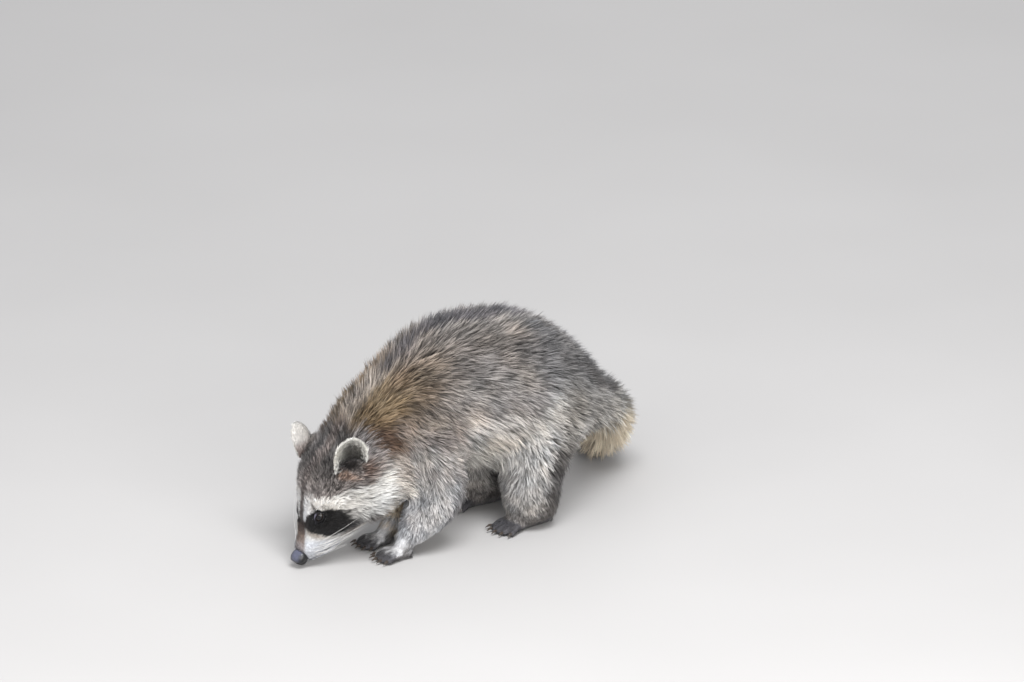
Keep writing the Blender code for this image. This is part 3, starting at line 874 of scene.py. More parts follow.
def hindleg_colour(points):
    """Pale grey in front and dark behind, partly dark fur and partly painted shade, with a paler
    fringe under the flank.
    """
    x, _, height = points.T
    colour = along(
        height + 5 * waves(points, 25, 33), (10, (0.20, 0.18, 0.165)), (26, (0.40, 0.38, 0.36)),
        (42, (0.44, 0.425, 0.41)), (68, (0.45, 0.44, 0.425)), (95, (0.45, 0.435, 0.415)),
        (115, (0.43, 0.415, 0.39)), (135, (0.40, 0.39, 0.365)),
    )
    colour = blotched(colour, points, 15, 34, 0.18)
    behind = np.interp(height, *zip(*DARK_REAR))
    # Darker rear: partly the leg's own dark fur, partly painted shade in the fringe behind it.
    rear = ramp(behind, behind + 12, x + 3 * waves(points, 12, 35))
    shades = along(
        height, (15, (0.105, 0.092, 0.083)), (30, (0.070, 0.062, 0.058)),
        (62, (0.052, 0.046, 0.044)), (76, (0.08, 0.073, 0.069)), (90, (0.20, 0.19, 0.175)),
        (105, (0.235, 0.22, 0.20)), (135, (0.16, 0.157, 0.155)),
    )
    colour = blend(colour, shades, 0.92 * rear)
    fringe = ramp(40, 52, x) * ramp(64, 74, height) * ramp(104, 94, height)
    return blend(colour, (0.30, 0.285, 0.265), 0.85 * fringe)


def paw_colour(points, normals, fore):
    """Pale furred wrist and top of the foot; dark toes and soles."""
    ahead = paw_place(points) + 0.05 * waves(points, 6, 37)
    top = ramp(-0.3, 0.5, normals[:, 2]) * ramp(3, 8, points[:, 2])
    toes = ramp(0.62, 0.84, ahead) if fore else ramp(0.56, 0.72, ahead)
    pale = (0.62, 0.62, 0.63) if fore else (0.25, 0.22, 0.20)
    colour = blend(plain(points, pale), PAW_GREY, 1 - top)
    return blend(colour, (0.085, 0.082, 0.088), toes)


# The dark rings of the tail: place and half width, as shares of its length.
TAIL_RINGS = ((0.16, 0.055), (0.34, 0.06), (0.50, 0.055), (0.66, 0.05), (0.81, 0.05))


def tail_colour(points):
    """Straw-coloured below and grey above, with painted light below and painted shade on top, and
    dark rings, tip and root.
    """
    share, _, away = tail_place(points)
    share = share + 0.012 * waves(points, 12, 41)
    # The straw underside is partly painted light and the dark grey top partly painted shade, laid by
    # how far each place faces up.
    upper = ramp(-0.3, 0.75, unit(away)[:, 2])
    pale = blend(plain(points, STRAW), (0.092, 0.088, 0.078), 0.92 * upper)
    ring = np.zeros(len(points))
    for place, half in TAIL_RINGS:
        half = half + 0.03 * upper
        ring = np.maximum(ring, ramp(0.025, -0.015, np.abs(share - place) - half))
    ring = ring * (0.30 + 0.45 * upper + (0.65 - 0.40 * upper) * ramp(0.34, 0.50, share))
    ring = np.maximum(ring, ramp(0.90, 0.94, share))
    colour = blend(pale, TAIL_DARK, 0.93 * ring)
    root = ramp(0.20, 0.04, share)
    return blend(colour, (0.075, 0.073, 0.070), 0.85 * root * ramp(-0.2, 0.5, unit(away)[:, 2]))


def markings(points, normals, group):
    """Mean colour of the coat at skin points."""
    colour = {
        "head": head_colour(points),
        "neck": neck_colour(points),
        "trunk": trunk_colour(points),
        "foreleg": foreleg_colour(points),
        "hindleg": hindleg_colour(points),
        "forepaw": paw_colour(points, normals, fore=True),
        "hindpaw": paw_colour(points, normals, fore=False),
        "tail": tail_colour(points),
        "ear": ear_colour(points, normals),
    }
    return sum(colour[name] * group[name][:, None] for name in GROUPS)


def grizzle(points, group):
    """How much the hairs of one place differ: little on the face, most on the back."""
    back, up, _ = head_place(points)
    amount = dict.fromkeys(("ear", "forepaw", "hindpaw"), 0.4)
    amount.update(trunk=1.0, neck=1.0, hindleg=0.8, foreleg=0.8, tail=0.5)
    amount["head"] = np.interp(back + up, [0, 50, 75, 100], [0.30, 0.32, 0.55, 1.15])
    return sum(group[name] * amount[name] for name in GROUPS)


# --- texture map of the skin ------------------------------
def unwrap_of(obj, triangles=7000):
    """A plain copy of obj, unwrapped: its search tree, corners and their places on the map."""
    copy = thinned(linked("plain", obj.data.copy()), triangles / len(obj.data.polygons))
    select_only(copy)
    bpy.ops.object.mode_set(mode="EDIT")
    bpy.ops.mesh.select_all(action="SELECT")
    bpy.ops.uv.smart_project(angle_limit=math.radians(66), island_margin=0.004)
    bpy.ops.object.mode_set(mode="OBJECT")
    mesh = copy.data
    corners = points_of(mesh)[triangles_of(mesh)]
    loops = numbers_of(mesh.loop_triangles, "loops", 3, np.int32)
    places = numbers_of(mesh.uv_layers.active.data, "uv", 2)[loops]
    tree = tree_of(copy)
    bpy.data.objects.remove(copy)
    return tree, corners, places


def on_map(points, unwrap):
    """Places of points on the skin's unwrap."""
    tree, corners, places = unwrap
    face = np.array([tree.find_nearest(p)[2] for p in points])
    a, b, c = (corners[face, k] for k in range(3))
    v0, v1, v2 = b - a, c - a, points - a
    d00, d01, d11 = dot(v0, v0), dot(v0, v1), dot(v1, v1)
    d20, d21 = dot(v2, v0), dot(v2, v1)
    size = np.maximum(d00 * d11 - d01 * d01, 1e-9)
    v = (d11 * d20 - d01 * d21) / size
    w = (d00 * d21 - d01 * d20) / size
    share = np.clip(np.stack([1 - v - w, v, w], 1), 0, 1)
    share /= share.sum(1, keepdims=True)
    return (places[face] * share[..., None]).sum(1)


# --- skin as arrays ---------------------------------------
class Skin:
    """The finished skin's points and what is known at each of them."""

    def __init__(self, obj, hull_tree):
        mesh = obj.data
        self.points, self.normals = points_of(mesh), normals_of(mesh)
        self.edges, self.faces = edges_of(mesh), triangles_of(mesh)
        self.group = group_weights(self.points, self.edges, rounds=5)
        self.flow = lie_of_coat(self.points, self.normals, self.edges, self.group)
        self.depth = self.measured_depth(hull_tree)
        a, b, c = (self.points[self.faces[:, k]] for k in range(3))
        self.area = np.linalg.norm(np.cross(b - a, c - a), axis=1) / 2

    def measured_depth(self, hull_tree, most=24.0):
        """From the skin out to the tips of the coat."""
        found = np.empty(len(self.points))
        for k, (p, n) in enumerate(zip(self.points, self.normals)):
            straight = hull_tree.ray_cast(Vector(p), Vector(n), most)[3]
            nearest = hull_tree.find_nearest(Vector(p))[3]
            found[k] = min(straight if straight is not None else most, 1.5 * nearest + 1)
        return np.clip(relaxed(found, self.edges, rounds=5), 0.5, most)

    def sample(self, count, density, rng):
        """count places on the skin, as densely as density says: face numbers and shares."""
        weight = self.area * density[self.faces].mean(1)
        marks = np.cumsum(weight)
        places = (np.arange(count) + rng.random(count)) / count * marks[-1]
        face = np.minimum(np.searchsorted(marks, places), len(marks) - 1)
        a, b = np.sqrt(rng.random(count)), rng.random(count)
        return face, np.stack([1 - a, a * (1 - b), a * b], 1)

    def read(self, face, share, values):
        """values of the skin's points, at places on its faces."""
        corners = values[self.faces[face]]
        return (corners * (share[..., None] if values.ndim > 1 else share)).sum(1)


# --- coat -------------------------------------------------
def hair_free(points):
    """1 where hair grows, 0 on the nose pad, the lids and the soles, and little under the eyes."""
    keep = np.ones(len(points))
    for side in EYES:
        distance, off, angle = round_eye(points, side)
        keep *= 1 - (distance < LID_RADIUS + 2.5) * (off - aperture(angle) < 5)
    keep *= 1 - 0.92 * below_eye(points)
    back, up, out = head_place(points)
    pad = ((back - PAD_BACK) / 7.2) ** 2 + ((up - PAD_UP) / 6.9) ** 2 + (out / 8.3) ** 2
    keep *= ramp(0.9, 1.15, pad)
    return keep * ramp(0.8, 2.2, points[:, 2])


def hair_length(skin):
    """Length of the guard hairs at each skin point, longest in the fringes behind the legs."""
    group, height = skin.group, skin.points[:, 2]
    rear = ramp(0.0, 0.6, skin.normals[:, 0]) * ramp(90, 55, height)
    rear = rear * (group["foreleg"] + group["hindleg"])
    low = group["trunk"] + 0.3 * group["head"] + 0.5 * group["tail"]
    low = low * ramp(0.2, -0.7, skin.normals[:, 2])
    heel = ramp(0.62, 0.30, paw_place(skin.points)) * (group["forepaw"] + group["hindpaw"])
    back, up, out = head_place(skin.points)
    hollow = np.sqrt((back - 93) ** 2 + (up - 33) ** 2 + (np.abs(out) - 38) ** 2)
    hollow = ramp(14, 8, hollow) * group["head"]  # before the ears
    length = (1.18 - 0.12 * group["head"] + 0.25 * group["tail"]) * skin.depth
    length = 2.0 + length + 1.4 * group["ear"]
    length = length * (1 + 0.75 * rear + 0.25 * low) + 5.5 * heel
    length = length + (2.2 - length) * ramp(15, 9, eye_distance(skin.points))
    return length + (2.5 - length) * 0.8 * hollow


class Tufts:
    """Roots of a set of tufts and what each of them needs to grow."""

    def __init__(self, skin, unwrap, kind, rng):
        length = kind.share * hair_length(skin)
        width = kind.fine + 0.0075 * length
        density = kind.coverage(skin) * hair_free(skin.points) / (length * width)
        count = kind.tufts
        read = partial(skin.read, *skin.sample(count, density, rng))
        self.root, self.normal, flow = read(skin.points), unit(read(skin.normals)), read(skin.flow)
        self.flow = unit(flow - self.normal * dot(flow, self.normal)[:, None])
        self.depth, self.length, self.width = read(skin.depth), read(length), read(width)
        self.group = {name: read(weight) for name, weight in skin.group.items()}
        self.grizzle = grizzle(self.root, self.group)
        self.place = on_map(self.root, unwrap)
        self.count = count
        self.lock = self.locks(rng, kind.lock)

    def locks(self, rng, size):
        """The lock of hair each tuft belongs to, as the number of the tuft in its middle."""
        middle = rng.permutation(self.count)[: int(self.count / size)]
        tree = points_tree(self.root[middle])
        return middle[[tree.find(p)[1] for p in self.root]]

    def comb(self, rng, hull_tree, reach_out):
        """Works out each tuft's tip: along the lie of the coat, out to a share of its depth."""
        self.across = np.cross(self.normal, self.flow)
        loose = np.clip(self.length / 24, 0.25, 1)
        turn = loose * (0.12 * waves(self.root, 30, 51) + 0.12 * waves(self.root, 8, 52))
        turn += rng.normal(0, 0.17, self.count)[self.lock] + rng.normal(0, 0.10, self.count)
        way = np.cos(turn)[:, None] * self.flow + np.sin(turn)[:, None] * self.across
        uneven = rng.normal(0, 0.13, self.count)[self.lock] + rng.normal(0, 0.08, self.count)
        length = self.length * (1 + 0.08 * waves(self.root, 11, 53) + uneven)
        uneven = rng.normal(0, 0.12, self.count)[self.lock] + rng.normal(0, 0.05, self.count)
        lift = self.depth * (reach_out + 0.05 * waves(self.root, 8, 54) + uneven)
        lift = np.clip(lift + 0.9 * self.group["ear"], 0.15 * length, 0.85 * length)
        run = np.sqrt(length**2 - lift**2) * 0.96
        tip = self.root + way * run[:, None] + self.normal * lift[:, None]
        aside = dot(self.root[self.lock] - self.root, self.across)
        tip += self.across * (0.55 * np.clip(aside, -0.2 * length, 0.2 * length))[:, None]
        for k in range(self.count):
            place, out, _, _ = hull_tree.find_nearest(Vector(tip[k]))
            above = (tip[k] - np.array(place)) @ np.array(out)
            wanted = lift[k] - self.depth[k]
            tip[k] -= np.array(out) * np.clip(above - wanted, -0.4 * lift[k], 0.7 * lift[k])
        self.way, self.tip, self.lift = way, tip, lift
        seen = self.root + 0.5 * (tip - self.root) + rng.normal(0, 0.35, (self.count, 3))
        self.colour = markings(seen, self.normal, self.group)
        return self


@dataclass
class Hair:
    """One kind of hair: how many tufts, how they are made up and where they grow."""

    name: str
    tufts: int
    blades: int  # in each tuft
    share: float  # of the guard hairs' length
    reach: float  # of the tips, as a share of the coat's depth
    spread: float  # of the roots in a tuft
    fine: float  # width of the shortest blades
    tone: float  # brightness
    lock: float  # tufts in a lock
    coverage: Callable  # how densely they grow, from the skin


# A blade is a strip of two pairs of points that ends in one point.
PAIRS, BLADE_POINTS, BLADE_TRIANGLES = 2, 5, 3
BLADE_AT = np.linspace(0, 1, PAIRS + 1) ** 0.9  # stations, as shares of its length
BLADE_WIDE = np.array((0.72, 1.0, 0.0))  # its half width there
STATION = np.array((0, 0, 1, 1, 2))  # of each point
HAND = np.array((-1, 1, -1, 1, 0))  # the side of the blade that each point is on
BLADE_CORNERS = np.array((0, 2, 3, 1, 2, 4, 3))  # of a four-sided face and a pointed one
BLADE_STARTS = np.array((0, 4))  # the first corner of each face


def grow(tufts, kind, rng):
    """The tuft of each blade, and the points, normals and colours of all the blades."""
    n, m = tufts.count, tufts.count * kind.blades
    of = np.repeat(np.arange(n), kind.blades)
    ring = rng.uniform(0, 2 * math.pi, m)
    radius = np.sqrt(rng.random(m)) * kind.spread * (0.28 + 0.022 * tufts.length[of])
    offset = tufts.flow[of] * (1.6 * np.cos(ring) * radius)[:, None]
    offset += tufts.across[of] * (np.sin(ring) * radius)[:, None]
    start = tufts.root[of] + offset - tufts.normal[of] * 0.35
    stray = rng.normal(0, 1, (m, 3)) * (0.014 * tufts.length[of])[:, None]
    tip = tufts.tip[of] + offset * 0.25 + stray
    shorter = rng.uniform(0.78, 1.0, m)[:, None]
    tip = start + (tip - start) * shorter
    lift, run = tufts.lift[of] * shorter[:, 0], np.linalg.norm(tip - start, axis=1)
    knee = start + tufts.normal[of] * (0.62 * lift)[:, None] + tufts.way[of] * (0.26 * run)[:, None]
    t = BLADE_AT[None, :, None]
    line = (1 - t) ** 2 * start[:, None] + 2 * t * (1 - t) * knee[:, None] + t**2 * tip[:, None]
    ahead = unit(2 * (1 - t) * (knee - start)[:, None] + 2 * t * (tip - knee)[:, None])
    side = unit(np.cross(tufts.normal[of][:, None], ahead))
    face = np.cross(ahead, side)
    twist = rng.normal(0, 0.55, m)[:, None, None]
    wide = np.cos(twist) * side + np.sin(twist) * face
    half = 0.5 * tufts.width[of] * rng.uniform(0.75, 1.25, m)
    step = wide * (half[:, None] * BLADE_WIDE)[..., None]
    points = line[:, STATION] + HAND[None, :, None] * step[:, STATION]
    points[..., 2] = np.maximum(points[..., 2], 0.25)
    jitter = (0.24 * rng.normal(0, 1, (n, 3)))[tufts.lock[of]] + 0.12 * rng.normal(0, 1, (m, 3))
    shading = unit(0.80 * tufts.normal[of][:, None] + 0.50 * face + jitter[:, None])
    colours = hair_colours(tufts, kind, of, rng)
    return of, (points, shading[:, STATION], colours[:, STATION])


PALE_TIP = np.array([0.80, 0.77, 0.72])


def hair_colours(tufts, kind, of, rng):
    """Banded hairs: a dark root, a paler band, and a tip that is cream in some and dark in others."""
    n, m = tufts.count, len(of)
    tone = 0.30 * waves(tufts.root, 6, 61) + 0.15 * waves(tufts.root, 19, 62)
    tone = tone + rng.normal(0, 0.68, n)[tufts.lock] + rng.normal(0, 0.55, n)
    tone = np.tanh(1.7 * tone)[of] + rng.normal(0, 0.12, m)
    amount = (tufts.grizzle * (1 - 0.6 * ramp(0.30, 0.62, tufts.colour.mean(1))))[of][:, None]
    t = BLADE_AT[None, :]
    root = 1 - 0.85 * amount * (1 - ramp(0.0, 0.7, t))
    tip = ramp(0.15, 0.9, t)
    change = np.where(tone > 0, 1.15 * tone, 0.76 * tone)[:, None]
    brightness = kind.tone * root * (1 + amount * tip * change)
    brightness *= 1 + 0.06 * rng.normal(0, 1, (m, 1))
    colours = tufts.colour[of][:, None, :] * brightness[..., None]
    pale = np.clip(tone, 0, 1)[:, None] * amount * tip
    cream = PALE_TIP * colours.mean(-1, keepdims=True) / PALE_TIP.mean()
    colours = blend(colours, cream, 0.3 * pale)
    warm = np.array([1.05, 1.0, 0.93])
    colours = colours * (1 + (warm - 1) * (0.4 * waves(tufts.root, 30, 63)[of])[:, None, None])
    return np.clip(colours, 0.004, 0.88)


def patch_on_map(tufts, of):
    """Each blade laid over its tuft's own small patch of the map, from root to tip."""
    corner = np.stack([HAND / 2, STATION / PAIRS - 0.5], 1) * PATCH
    places = tufts.place[of][:, None, :] + corner[None]
    return np.clip(places, 0.001, 0.999)


def blade_mesh(name, points, normals, colours, places):
    """One mesh from many blades, with the colours and the map that the coat's material needs."""
    m, corners = len(points), len(BLADE_CORNERS)
    mesh = bpy.data.meshes.new(name)
    mesh.vertices.add(BLADE_POINTS * m)
    mesh.loops.add(corners * m)
    mesh.polygons.add(PAIRS * m)
    first = np.arange(m)[:, None]
    loops = (first * BLADE_POINTS + BLADE_CORNERS).ravel()
    mesh.vertices.foreach_set("co", (points * MM).astype(np.float32).ravel())
    mesh.loops.foreach_set("vertex_index", loops.astype(np.int32))
    starts = (first * corners + BLADE_STARTS).ravel()
    mesh.polygons.foreach_set("loop_start", starts.astype(np.int32))
    mesh.update(calc_edges=True)
    layer = mesh.uv_layers.new(name="OFBake")
    layer.data.foreach_set("uv", places.reshape(-1, 2)[loops].astype(np.float32).ravel())
    paint(mesh, colours.reshape(-1, 3))
    mesh.shade_smooth()
    mesh.normals_split_custom_set_from_vertices(normals.reshape(-1, 3).astype(np.float32))
    return mesh


def paint(mesh, colours):
    layer = mesh.color_attributes.new("coat", "FLOAT_COLOR", "POINT")
    full = np.concatenate([colours, np.ones((len(colours), 1))], 1)
    layer.data.foreach_set("color", full.astype(np.float32).ravel())


def coat_pieces(kind, tufts, material, rng):
    """The blades of the tufts, shared out between as many pieces as the triangle limit asks for."""
    of, grown = grow(tufts, kind, rng)
    parts = math.ceil(tufts.count * kind.blades * BLADE_TRIANGLES / PIECE_TRIANGLES)
    member = np.empty(tufts.count, int)
    member[rng.permutation(tufts.count)] = np.arange(tufts.count) % parts
    grown = (*grown, patch_on_map(tufts, of))
    for k in range(parts):
        keep = member[of] == k
        name = f"{kind.name}_{k + 1}"
        obj = linked(name, blade_mesh(name, *(values[keep] for values in grown)))
        obj.data.materials.append(material)
        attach(obj, "root")


# --- materials --------------------------------------------
class Nodes:
    """A material's node tree, with short ways to add to it."""

    def __init__(self, name, **inputs):
        self.material = bpy.data.materials.new(name)
        self.material.use_nodes = True
        self.tree = self.material.node_tree
        self.shader = self.tree.nodes["Principled BSDF"]
        for key, value in inputs.items():
            self.shader.inputs[key.replace("_", " ")].default_value = value

    def add(self, kind, **settings):
        node = self.tree.nodes.new(kind)
        for key, value in settings.items():
            if key in node.inputs:
                node.inputs[key].default_value = value
            else:
                setattr(node, key, value)
        return node

    def link(self, start, end):
        self.tree.links.new(start, end)

    def noise(self, scale, detail, stretch=None):
        where = self.add("ShaderNodeTexCoord").outputs["Object"]
        if stretch:
            mapping = self.add("ShaderNodeMapping", Scale=stretch)
            self.link(where, mapping.inputs["Vector"])
            where = mapping.outputs["Vector"]
        made = self.add("ShaderNodeTexNoise", Scale=scale, Detail=detail)
        self.link(where, made.inputs["Vector"])
        return made.outputs["Fac"]

    def spread(self, scale, detail, low, high):
        """Noise, spread between two values."""
        made = self.add("ShaderNodeMapRange")
        made.inputs["To Min"].default_value = low
        made.inputs["To Max"].default_value = high
        self.link(self.noise(scale, detail), made.inputs["Value"])
        return made.outputs["Result"]

    def painted(self, scale, detail, low, high):
        """The colour painted on the mesh, varied by noise."""
        painted = self.add("ShaderNodeAttribute", attribute_name="coat")
        made = self.add("ShaderNodeVectorMath", operation="SCALE")
        self.link(painted.outputs["Color"], made.inputs[0])
        self.link(self.spread(scale, detail, low, high), made.inputs["Scale"])
        self.link(made.outputs["Vector"], self.shader.inputs["Base Color"])

    def mottled(self, scale, detail, dark, pale, stretch=None):
        """Noise between two colours."""
        made = self.add("ShaderNodeValToRGB")
        for stop, colour in zip(made.color_ramp.elements, (dark, pale)):
            stop.color = (*colour, 1)
        self.link(self.noise(scale, detail, stretch), made.inputs["Fac"])
        self.link(made.outputs["Color"], self.shader.inputs["Base Color"])

    def rough(self, scale, detail, low, high):
        self.link(self.spread(scale, detail, low, high), self.shader.inputs["Roughness"])

    def bump(self, height, strength, distance):
        made = self.add("ShaderNodeBump", Strength=strength, Distance=distance)
        self.link(height, made.inputs["Height"])
        self.link(made.outputs["Normal"], self.shader.inputs["Normal"])


def coat_material():
    nodes = Nodes(
        "coat hair", Roughness=0.62, Specular_IOR_Level=0.22, Sheen_Weight=0.12, Sheen_Roughness=0.5
    )
    nodes.painted(900, 2, 0.86, 1.14)
    nodes.rough(400, 1, 0.52, 0.74)
    return nodes.material


def skin_material():
    """Short fur and skin, shaded by what the coat paints on it."""
    nodes = Nodes("skin and short fur", Roughness=0.7, Specular_IOR_Level=0.2)
    nodes.painted(1500, 3, 0.7, 1.25)
    nodes.rough(300, 2, 0.58, 0.8)
    nodes.bump(nodes.noise(1100, 3), 0.5, 0.0006)
    return nodes.material


def eye_material():
    nodes = Nodes(
        "eye", Roughness=0.08, Specular_IOR_Level=0.12, Coat_Weight=0.5, Coat_Roughness=0.02
    )
    nodes.painted(2500, 2, 0.75, 1.25)
    nodes.rough(600, 1, 0.05, 0.12)
    return nodes.material


def nose_material():
    nodes = Nodes(
        "nose leather", Roughness=0.36, Specular_IOR_Level=0.3, Coat_Weight=0.35, Coat_Roughness=0.16
    )
    nodes.painted(350, 3, 0.6, 1.4)
    nodes.rough(250, 2, 0.24, 0.46)
    cells = nodes.add("ShaderNodeTexVoronoi", Scale=1500.0)
    nodes.link(nodes.add("ShaderNodeTexCoord").outputs["Object"], cells.inputs["Vector"])
    nodes.bump(cells.outputs["Distance"], 0.35, 0.0005)
    return nodes.material


def horn_material():
    nodes = Nodes("claw horn", Roughness=0.35, Specular_IOR_Level=0.45)
    nodes.mottled(260, 3, (0.018, 0.014, 0.012), (0.085, 0.068, 0.056), stretch=(0.4, 1, 1))
    nodes.rough(500, 2, 0.28, 0.5)
    return nodes.material


def whisker_material():
    nodes = Nodes("whisker", Roughness=0.4, Specular_IOR_Level=0.4)
    nodes.mottled(90, 2, (0.62, 0.60, 0.57), (0.86, 0.85, 0.83))
    return nodes.material


def floor_material():
    nodes = Nodes("pale floor", Roughness=0.85, Specular_IOR_Level=0.1)
    nodes.mottled(3, 2, (0.42, 0.41, 0.40), (0.46, 0.45, 0.44))
    return nodes.material


# --- eyes, nose, whiskers and claws -----------------------
def eyeball(side, material):
    """A dark-brown eye with a wide pupil, and the clear front's slight bulge."""
    ways, faces = ball(28, 40)
    tilt = np.arccos(ways[:, 0])
    reach = EYE_RADIUS - 0.7 + 0.35 * np.exp(-((tilt / 0.62) ** 2))
    points = EYES[side] + reach[:, None] * (ways @ np.array(eye_axes(WAYS[side])))
    if side == "right":
        faces = [f[::-1] for f in faces]
    obj = object_from("eyeball_" + side, points, faces)
    paint(obj.data, np.array(EYE_SHADES)[np.digitize(tilt, EYE_RINGS)])
    obj.data.materials.append(material)
    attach(obj, "root")
    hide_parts("eye_" + side)


def nose_pad(material):
    """The bare nose: rounded block, comma-shaped nostrils, middle groove and a painted sky reflection
    on top.
    """
    way, faces = ball(44, 64)
    boxy = (np.abs(way) ** 2.6).sum(1) ** (-1 / 2.6)
    local = way * boxy[:, None] * (6.6, 8.0, 6.6)
    forward, out, up = local.T
    side = np.abs(out)
    front = ramp(0.0, 3.5, forward)
    hole = np.exp(-(((side - 3.6) / 1.5) ** 2 + ((up - 0.2) / 1.7) ** 2)) * front
    fall = up + 1.3 - 0.25 * (side - 5.9)
    slit = np.exp(-(((side - 5.9) / 1.9) ** 2 + (fall / 0.75) ** 2)) * ramp(-1.5, 1.5, forward)
    groove = np.exp(-((out / 0.55) ** 2)) * ramp(1.2, -1.5, up) * front
    wing = np.exp(-(((side - 4.8) / 2.0) ** 2 + ((up - 2.4) / 1.4) ** 2)) * front
    dent = 3.6 * hole + 1.7 * slit + 0.8 * groove - 0.45 * wing
    local = local - way * np.minimum(dent, 4.2)[:, None]
    points = centre_of("nose") + local[:, :1] * FORWARD + local[:, 1:2] * LEFT + local[:, 2:] * UP
    obj = object_from("nose_leather", points, faces)
    # Painted reflection: the pad's upper face is painted bluish grey for the sky it mirrors.
    top = ramp(1.6, 5.8, local[:, 2]) * ramp(1.0, 0.3, dent) * ramp(7.6, 2.0, side)
    paint(obj.data, blend(plain(points, (0.009, 0.009, 0.010)), (0.085, 0.090, 0.130), 0.9 * top))
    obj.data.materials.append(material)
    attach(obj, "root")
    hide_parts("nose")


def hair_tube(line, radius, sides=4):
    """A tapering tube along a line, as points and faces."""
    ahead = unit(np.gradient(line, axis=0))
    side = unit(np.cross(ahead, (0.2, 0.3, 1.0)))
    other = np.cross(ahead, side)
    rings = len(line) - 1
    points = []
    for k in range(rings):
        wide = radius * (1 - k / rings) ** 0.8
        for j in range(sides):
            angle = 2 * math.pi * j / sides
            points.append(line[k] + wide * (math.cos(angle) * side[k] + math.sin(angle) * other[k]))
    points.append(line[-1])
    faces = ring_faces(rings, sides, flip=True)
    last = (rings - 1) * sides
    for j in range(sides):
        faces.append((last + j, last + (j + 1) % sides, rings * sides))
    faces.append(tuple(range(sides))[::-1])
    return points, faces


def whiskers(skin_tree, material, rng):
    """Long white hairs from the sides of the muzzle, and a few over the eyes and on the cheeks."""
    points, faces = [], []
    beds = [(9 + 3.4 * i, 5.5 - 3.4 * j, 24 + 4.5 * i) for i in range(5) for j in range(4)]
    beds += [(46 + 2 * i, 30, 20) for i in range(3)] + [(58, -6 - 4 * i, 24) for i in range(2)]
    bend = -FORWARD * 0.35 - UP * 0.12
    for way in (1, -1):
        for back, up, length in beds:
            back, up = back + rng.normal(0, 0.5), up + rng.normal(0, 0.5)
            outside = in_head(back, up, way * 60)
            spot = skin_tree.ray_cast(Vector(outside), Vector(-way * LEFT))[0]
            if spot is None:
                continue
            length = length * rng.uniform(0.75, 1.1)
            t = np.linspace(0, 1, 8)[:, None]
            ahead = way * LEFT * rng.uniform(0.55, 0.8) - FORWARD * rng.uniform(0.45, 0.75)
            ahead = unit(ahead - UP * rng.uniform(0.0, 0.35))
            line = np.array(spot) + (ahead * t + bend * t**2) * length
            line[:, 2] = np.maximum(line[:, 2], 0.4)
            ring, face = hair_tube(line, 0.20)
            faces += [tuple(len(points) + i for i in f) for f in face]
            points += list(ring)
    obj = object_from("whiskers", points, faces)
    obj.data.materials.append(material)
    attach(obj, "root")


# --- light, floor and camera ------------------------------
CAMERA_TURN, CAMERA_TILT = -36, 20  # degrees from the animal's left side, and down
CAMERA_DISTANCE, PICTURE_WIDTH = 12.0, 0.952  # metres; the width is that of the scene in the frame
FLOOR_REACH = 4000  # from its middle to each side
# Name, place, size in metres, watts and colour of each light.
LIGHTS = (
    ("sky", (-0.6, -1.3, 2.2), (1.3, 1.1), 74, (0.97, 0.98, 1.0)),
    ("strip", (-2.1, -0.85, 1.26), (2.2, 0.4), 16, (1.0, 0.98, 0.95)),
    ("side", (-0.7, -2.4, 0.9), (1.8, 1.2), 39, (1.0, 0.98, 0.96)),
    ("rim", (1.4, 1.6, 1.5), (1.5, 1.5), 11, (1.0, 1.0, 1.0)),
)
LIT_PLACE = (-0.03, -0.04, 0.08)


def area_light(name, place, size, watts, colour):
    light = bpy.data.lights.new(name, "AREA")
    light.shape = "RECTANGLE"
    light.size, light.size_y = size
    light.energy = watts
    light.color = colour
    obj = linked(name, light)
    obj.location = place
    obj.rotation_euler = (Vector(LIT_PLACE) - Vector(place)).to_track_quat("-Z", "Y").to_euler()


def camera_axes():
    """The camera's directions: right, into the picture, and up."""
    turn, tilt = math.radians(CAMERA_TURN), math.radians(CAMERA_TILT)
    right = Vector((math.cos(turn), math.sin(turn), 0))
    level = math.cos(tilt)
    ahead = Vector((-math.sin(turn) * level, math.cos(turn) * level, -math.sin(tilt)))
    return right, ahead, right.cross(ahead)


def add_camera():
    right, ahead, up = camera_axes()
    # The frame's middle lies a little right of the shoulders and above the back.
    aim = Vector((-0.0457, MIDDLE_Y * MM, 0)) + right * 0.0550 + up * 0.1727
    data = bpy.data.cameras.new("camera")
    data.sensor_width = 36
    data.lens = data.sensor_width * CAMERA_DISTANCE / PICTURE_WIDTH
    camera = linked("camera", data)
    camera.location = aim - ahead * CAMERA_DISTANCE
    camera.rotation_euler = ahead.to_track_quat("-Z", "Y").to_euler()
    bpy.context.scene.camera = camera


def add_stage():
    corners = np.array([(-1, -1, 0), (1, -1, 0), (1, 1, 0), (-1, 1, 0)]) * FLOOR_REACH
    floor = object_from("floor", corners, [(0, 1, 2, 3)])
    floor.data.materials.append(floor_material())
    for light in LIGHTS:
        area_light(*light)
    world = bpy.data.worlds.new("studio")
    world.use_nodes = True
    backdrop = world.node_tree.nodes["Background"]
    backdrop.inputs["Color"].default_value = (0.93, 0.95, 1.0, 1)
    backdrop.inputs["Strength"].default_value = 0.7
    bpy.context.scene.world = world
    bpy.context.scene.view_settings.view_transform = "Standard"


# --- putting it together ----------------------------------
def where_long(skin):
    return ramp(3.5, 7, skin.depth)


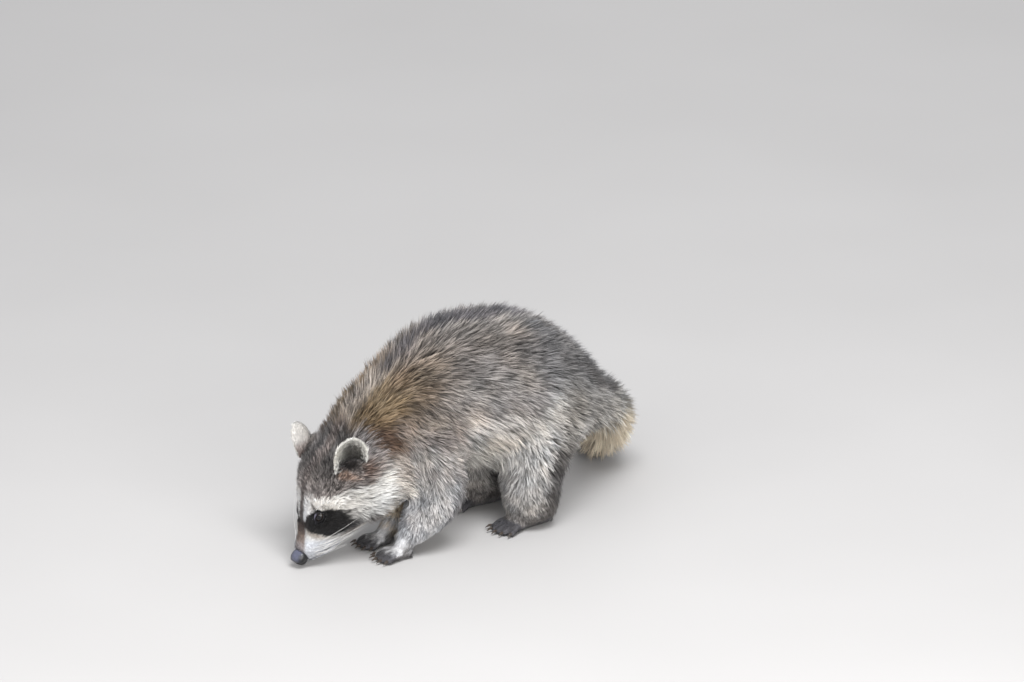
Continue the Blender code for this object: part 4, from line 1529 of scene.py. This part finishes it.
def where_short(skin):
    """The face, ears and feet, and most of all the muzzle."""
    return ramp(8, 4, skin.depth) * (1 + 0.8 * skin.group["head"])


HAIRS = (
    Hair(
        "coat_guard", 72000, 3, share=1.0, reach=0.97, spread=0.8, fine=0.26, tone=1.0, lock=2.3,
        coverage=where_long,
    ),
    Hair(
        "coat_under", 16000, 5, share=0.62, reach=0.60, spread=1.9, fine=0.42, tone=0.5, lock=2.0,
        coverage=where_long,
    ),
    Hair(
        "coat_short", 44000, 4, share=1.0, reach=0.85, spread=1.0, fine=0.24, tone=1.0, lock=1.5,
        coverage=where_short,
    ),
)


def finish_skin(obj, skin):
    """Paints the skin with the coat's markings, darkened as painted shade where the coat is thick,
    and joins the lids to it.
    """
    # Painted shade: the skin darkens under a thicker coat, for the shade down among the hairs.
    coat_shade = np.interp(skin.depth, [1, 4, 12], [0.9, 0.6, 0.42])
    paint(obj.data, markings(skin.points, skin.normals, skin.group) * coat_shade[:, None])
    obj.data.materials.append(skin_material())
    obj.data.shade_smooth()
    lids = []
    for side in EYES:
        lid = lid_shell(side)
        points = points_of(lid.data)
        # Black lids, with the painted sky reflection on the crescent under the eye.
        paint(lid.data, blend(plain(points, LID_BLACK), LID_SKY_REFLECTION, 0.75 * below_eye(points)))
        lid.data.materials.append(obj.data.materials[0])
        lids.append(lid)
    select_only(*lids, obj)
    bpy.ops.object.join()
    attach(obj, "root")
    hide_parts(*FLESH)


def polish_claws(material):
    """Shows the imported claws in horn."""
    for name, node in NODES.items():
        if name.startswith("claw"):
            node.data.materials.clear()
            node.data.materials.append(material)


def build():
    rng = np.random.default_rng(7)
    hull = make_hull()
    hull_tree = tree_of(hull)
    bpy.data.objects.remove(hull)
    skin_object = make_skin()
    set_points(skin_object.data, open_sockets(points_of(skin_object.data)))
    skin = Skin(skin_object, hull_tree)
    unwrap = unwrap_of(skin_object)
    coat = coat_material()
    for kind in HAIRS:
        tufts = Tufts(skin, unwrap, kind, rng).comb(rng, hull_tree, kind.reach)
        coat_pieces(kind, tufts, coat, rng)
    finish_skin(skin_object, skin)
    skin_tree = tree_of(skin_object)
    eye = eye_material()
    for side in EYES:
        eyeball(side, eye)
    nose_pad(nose_material())
    polish_claws(horn_material())
    whiskers(skin_tree, whisker_material(), rng)


build()
add_camera()
add_stage()
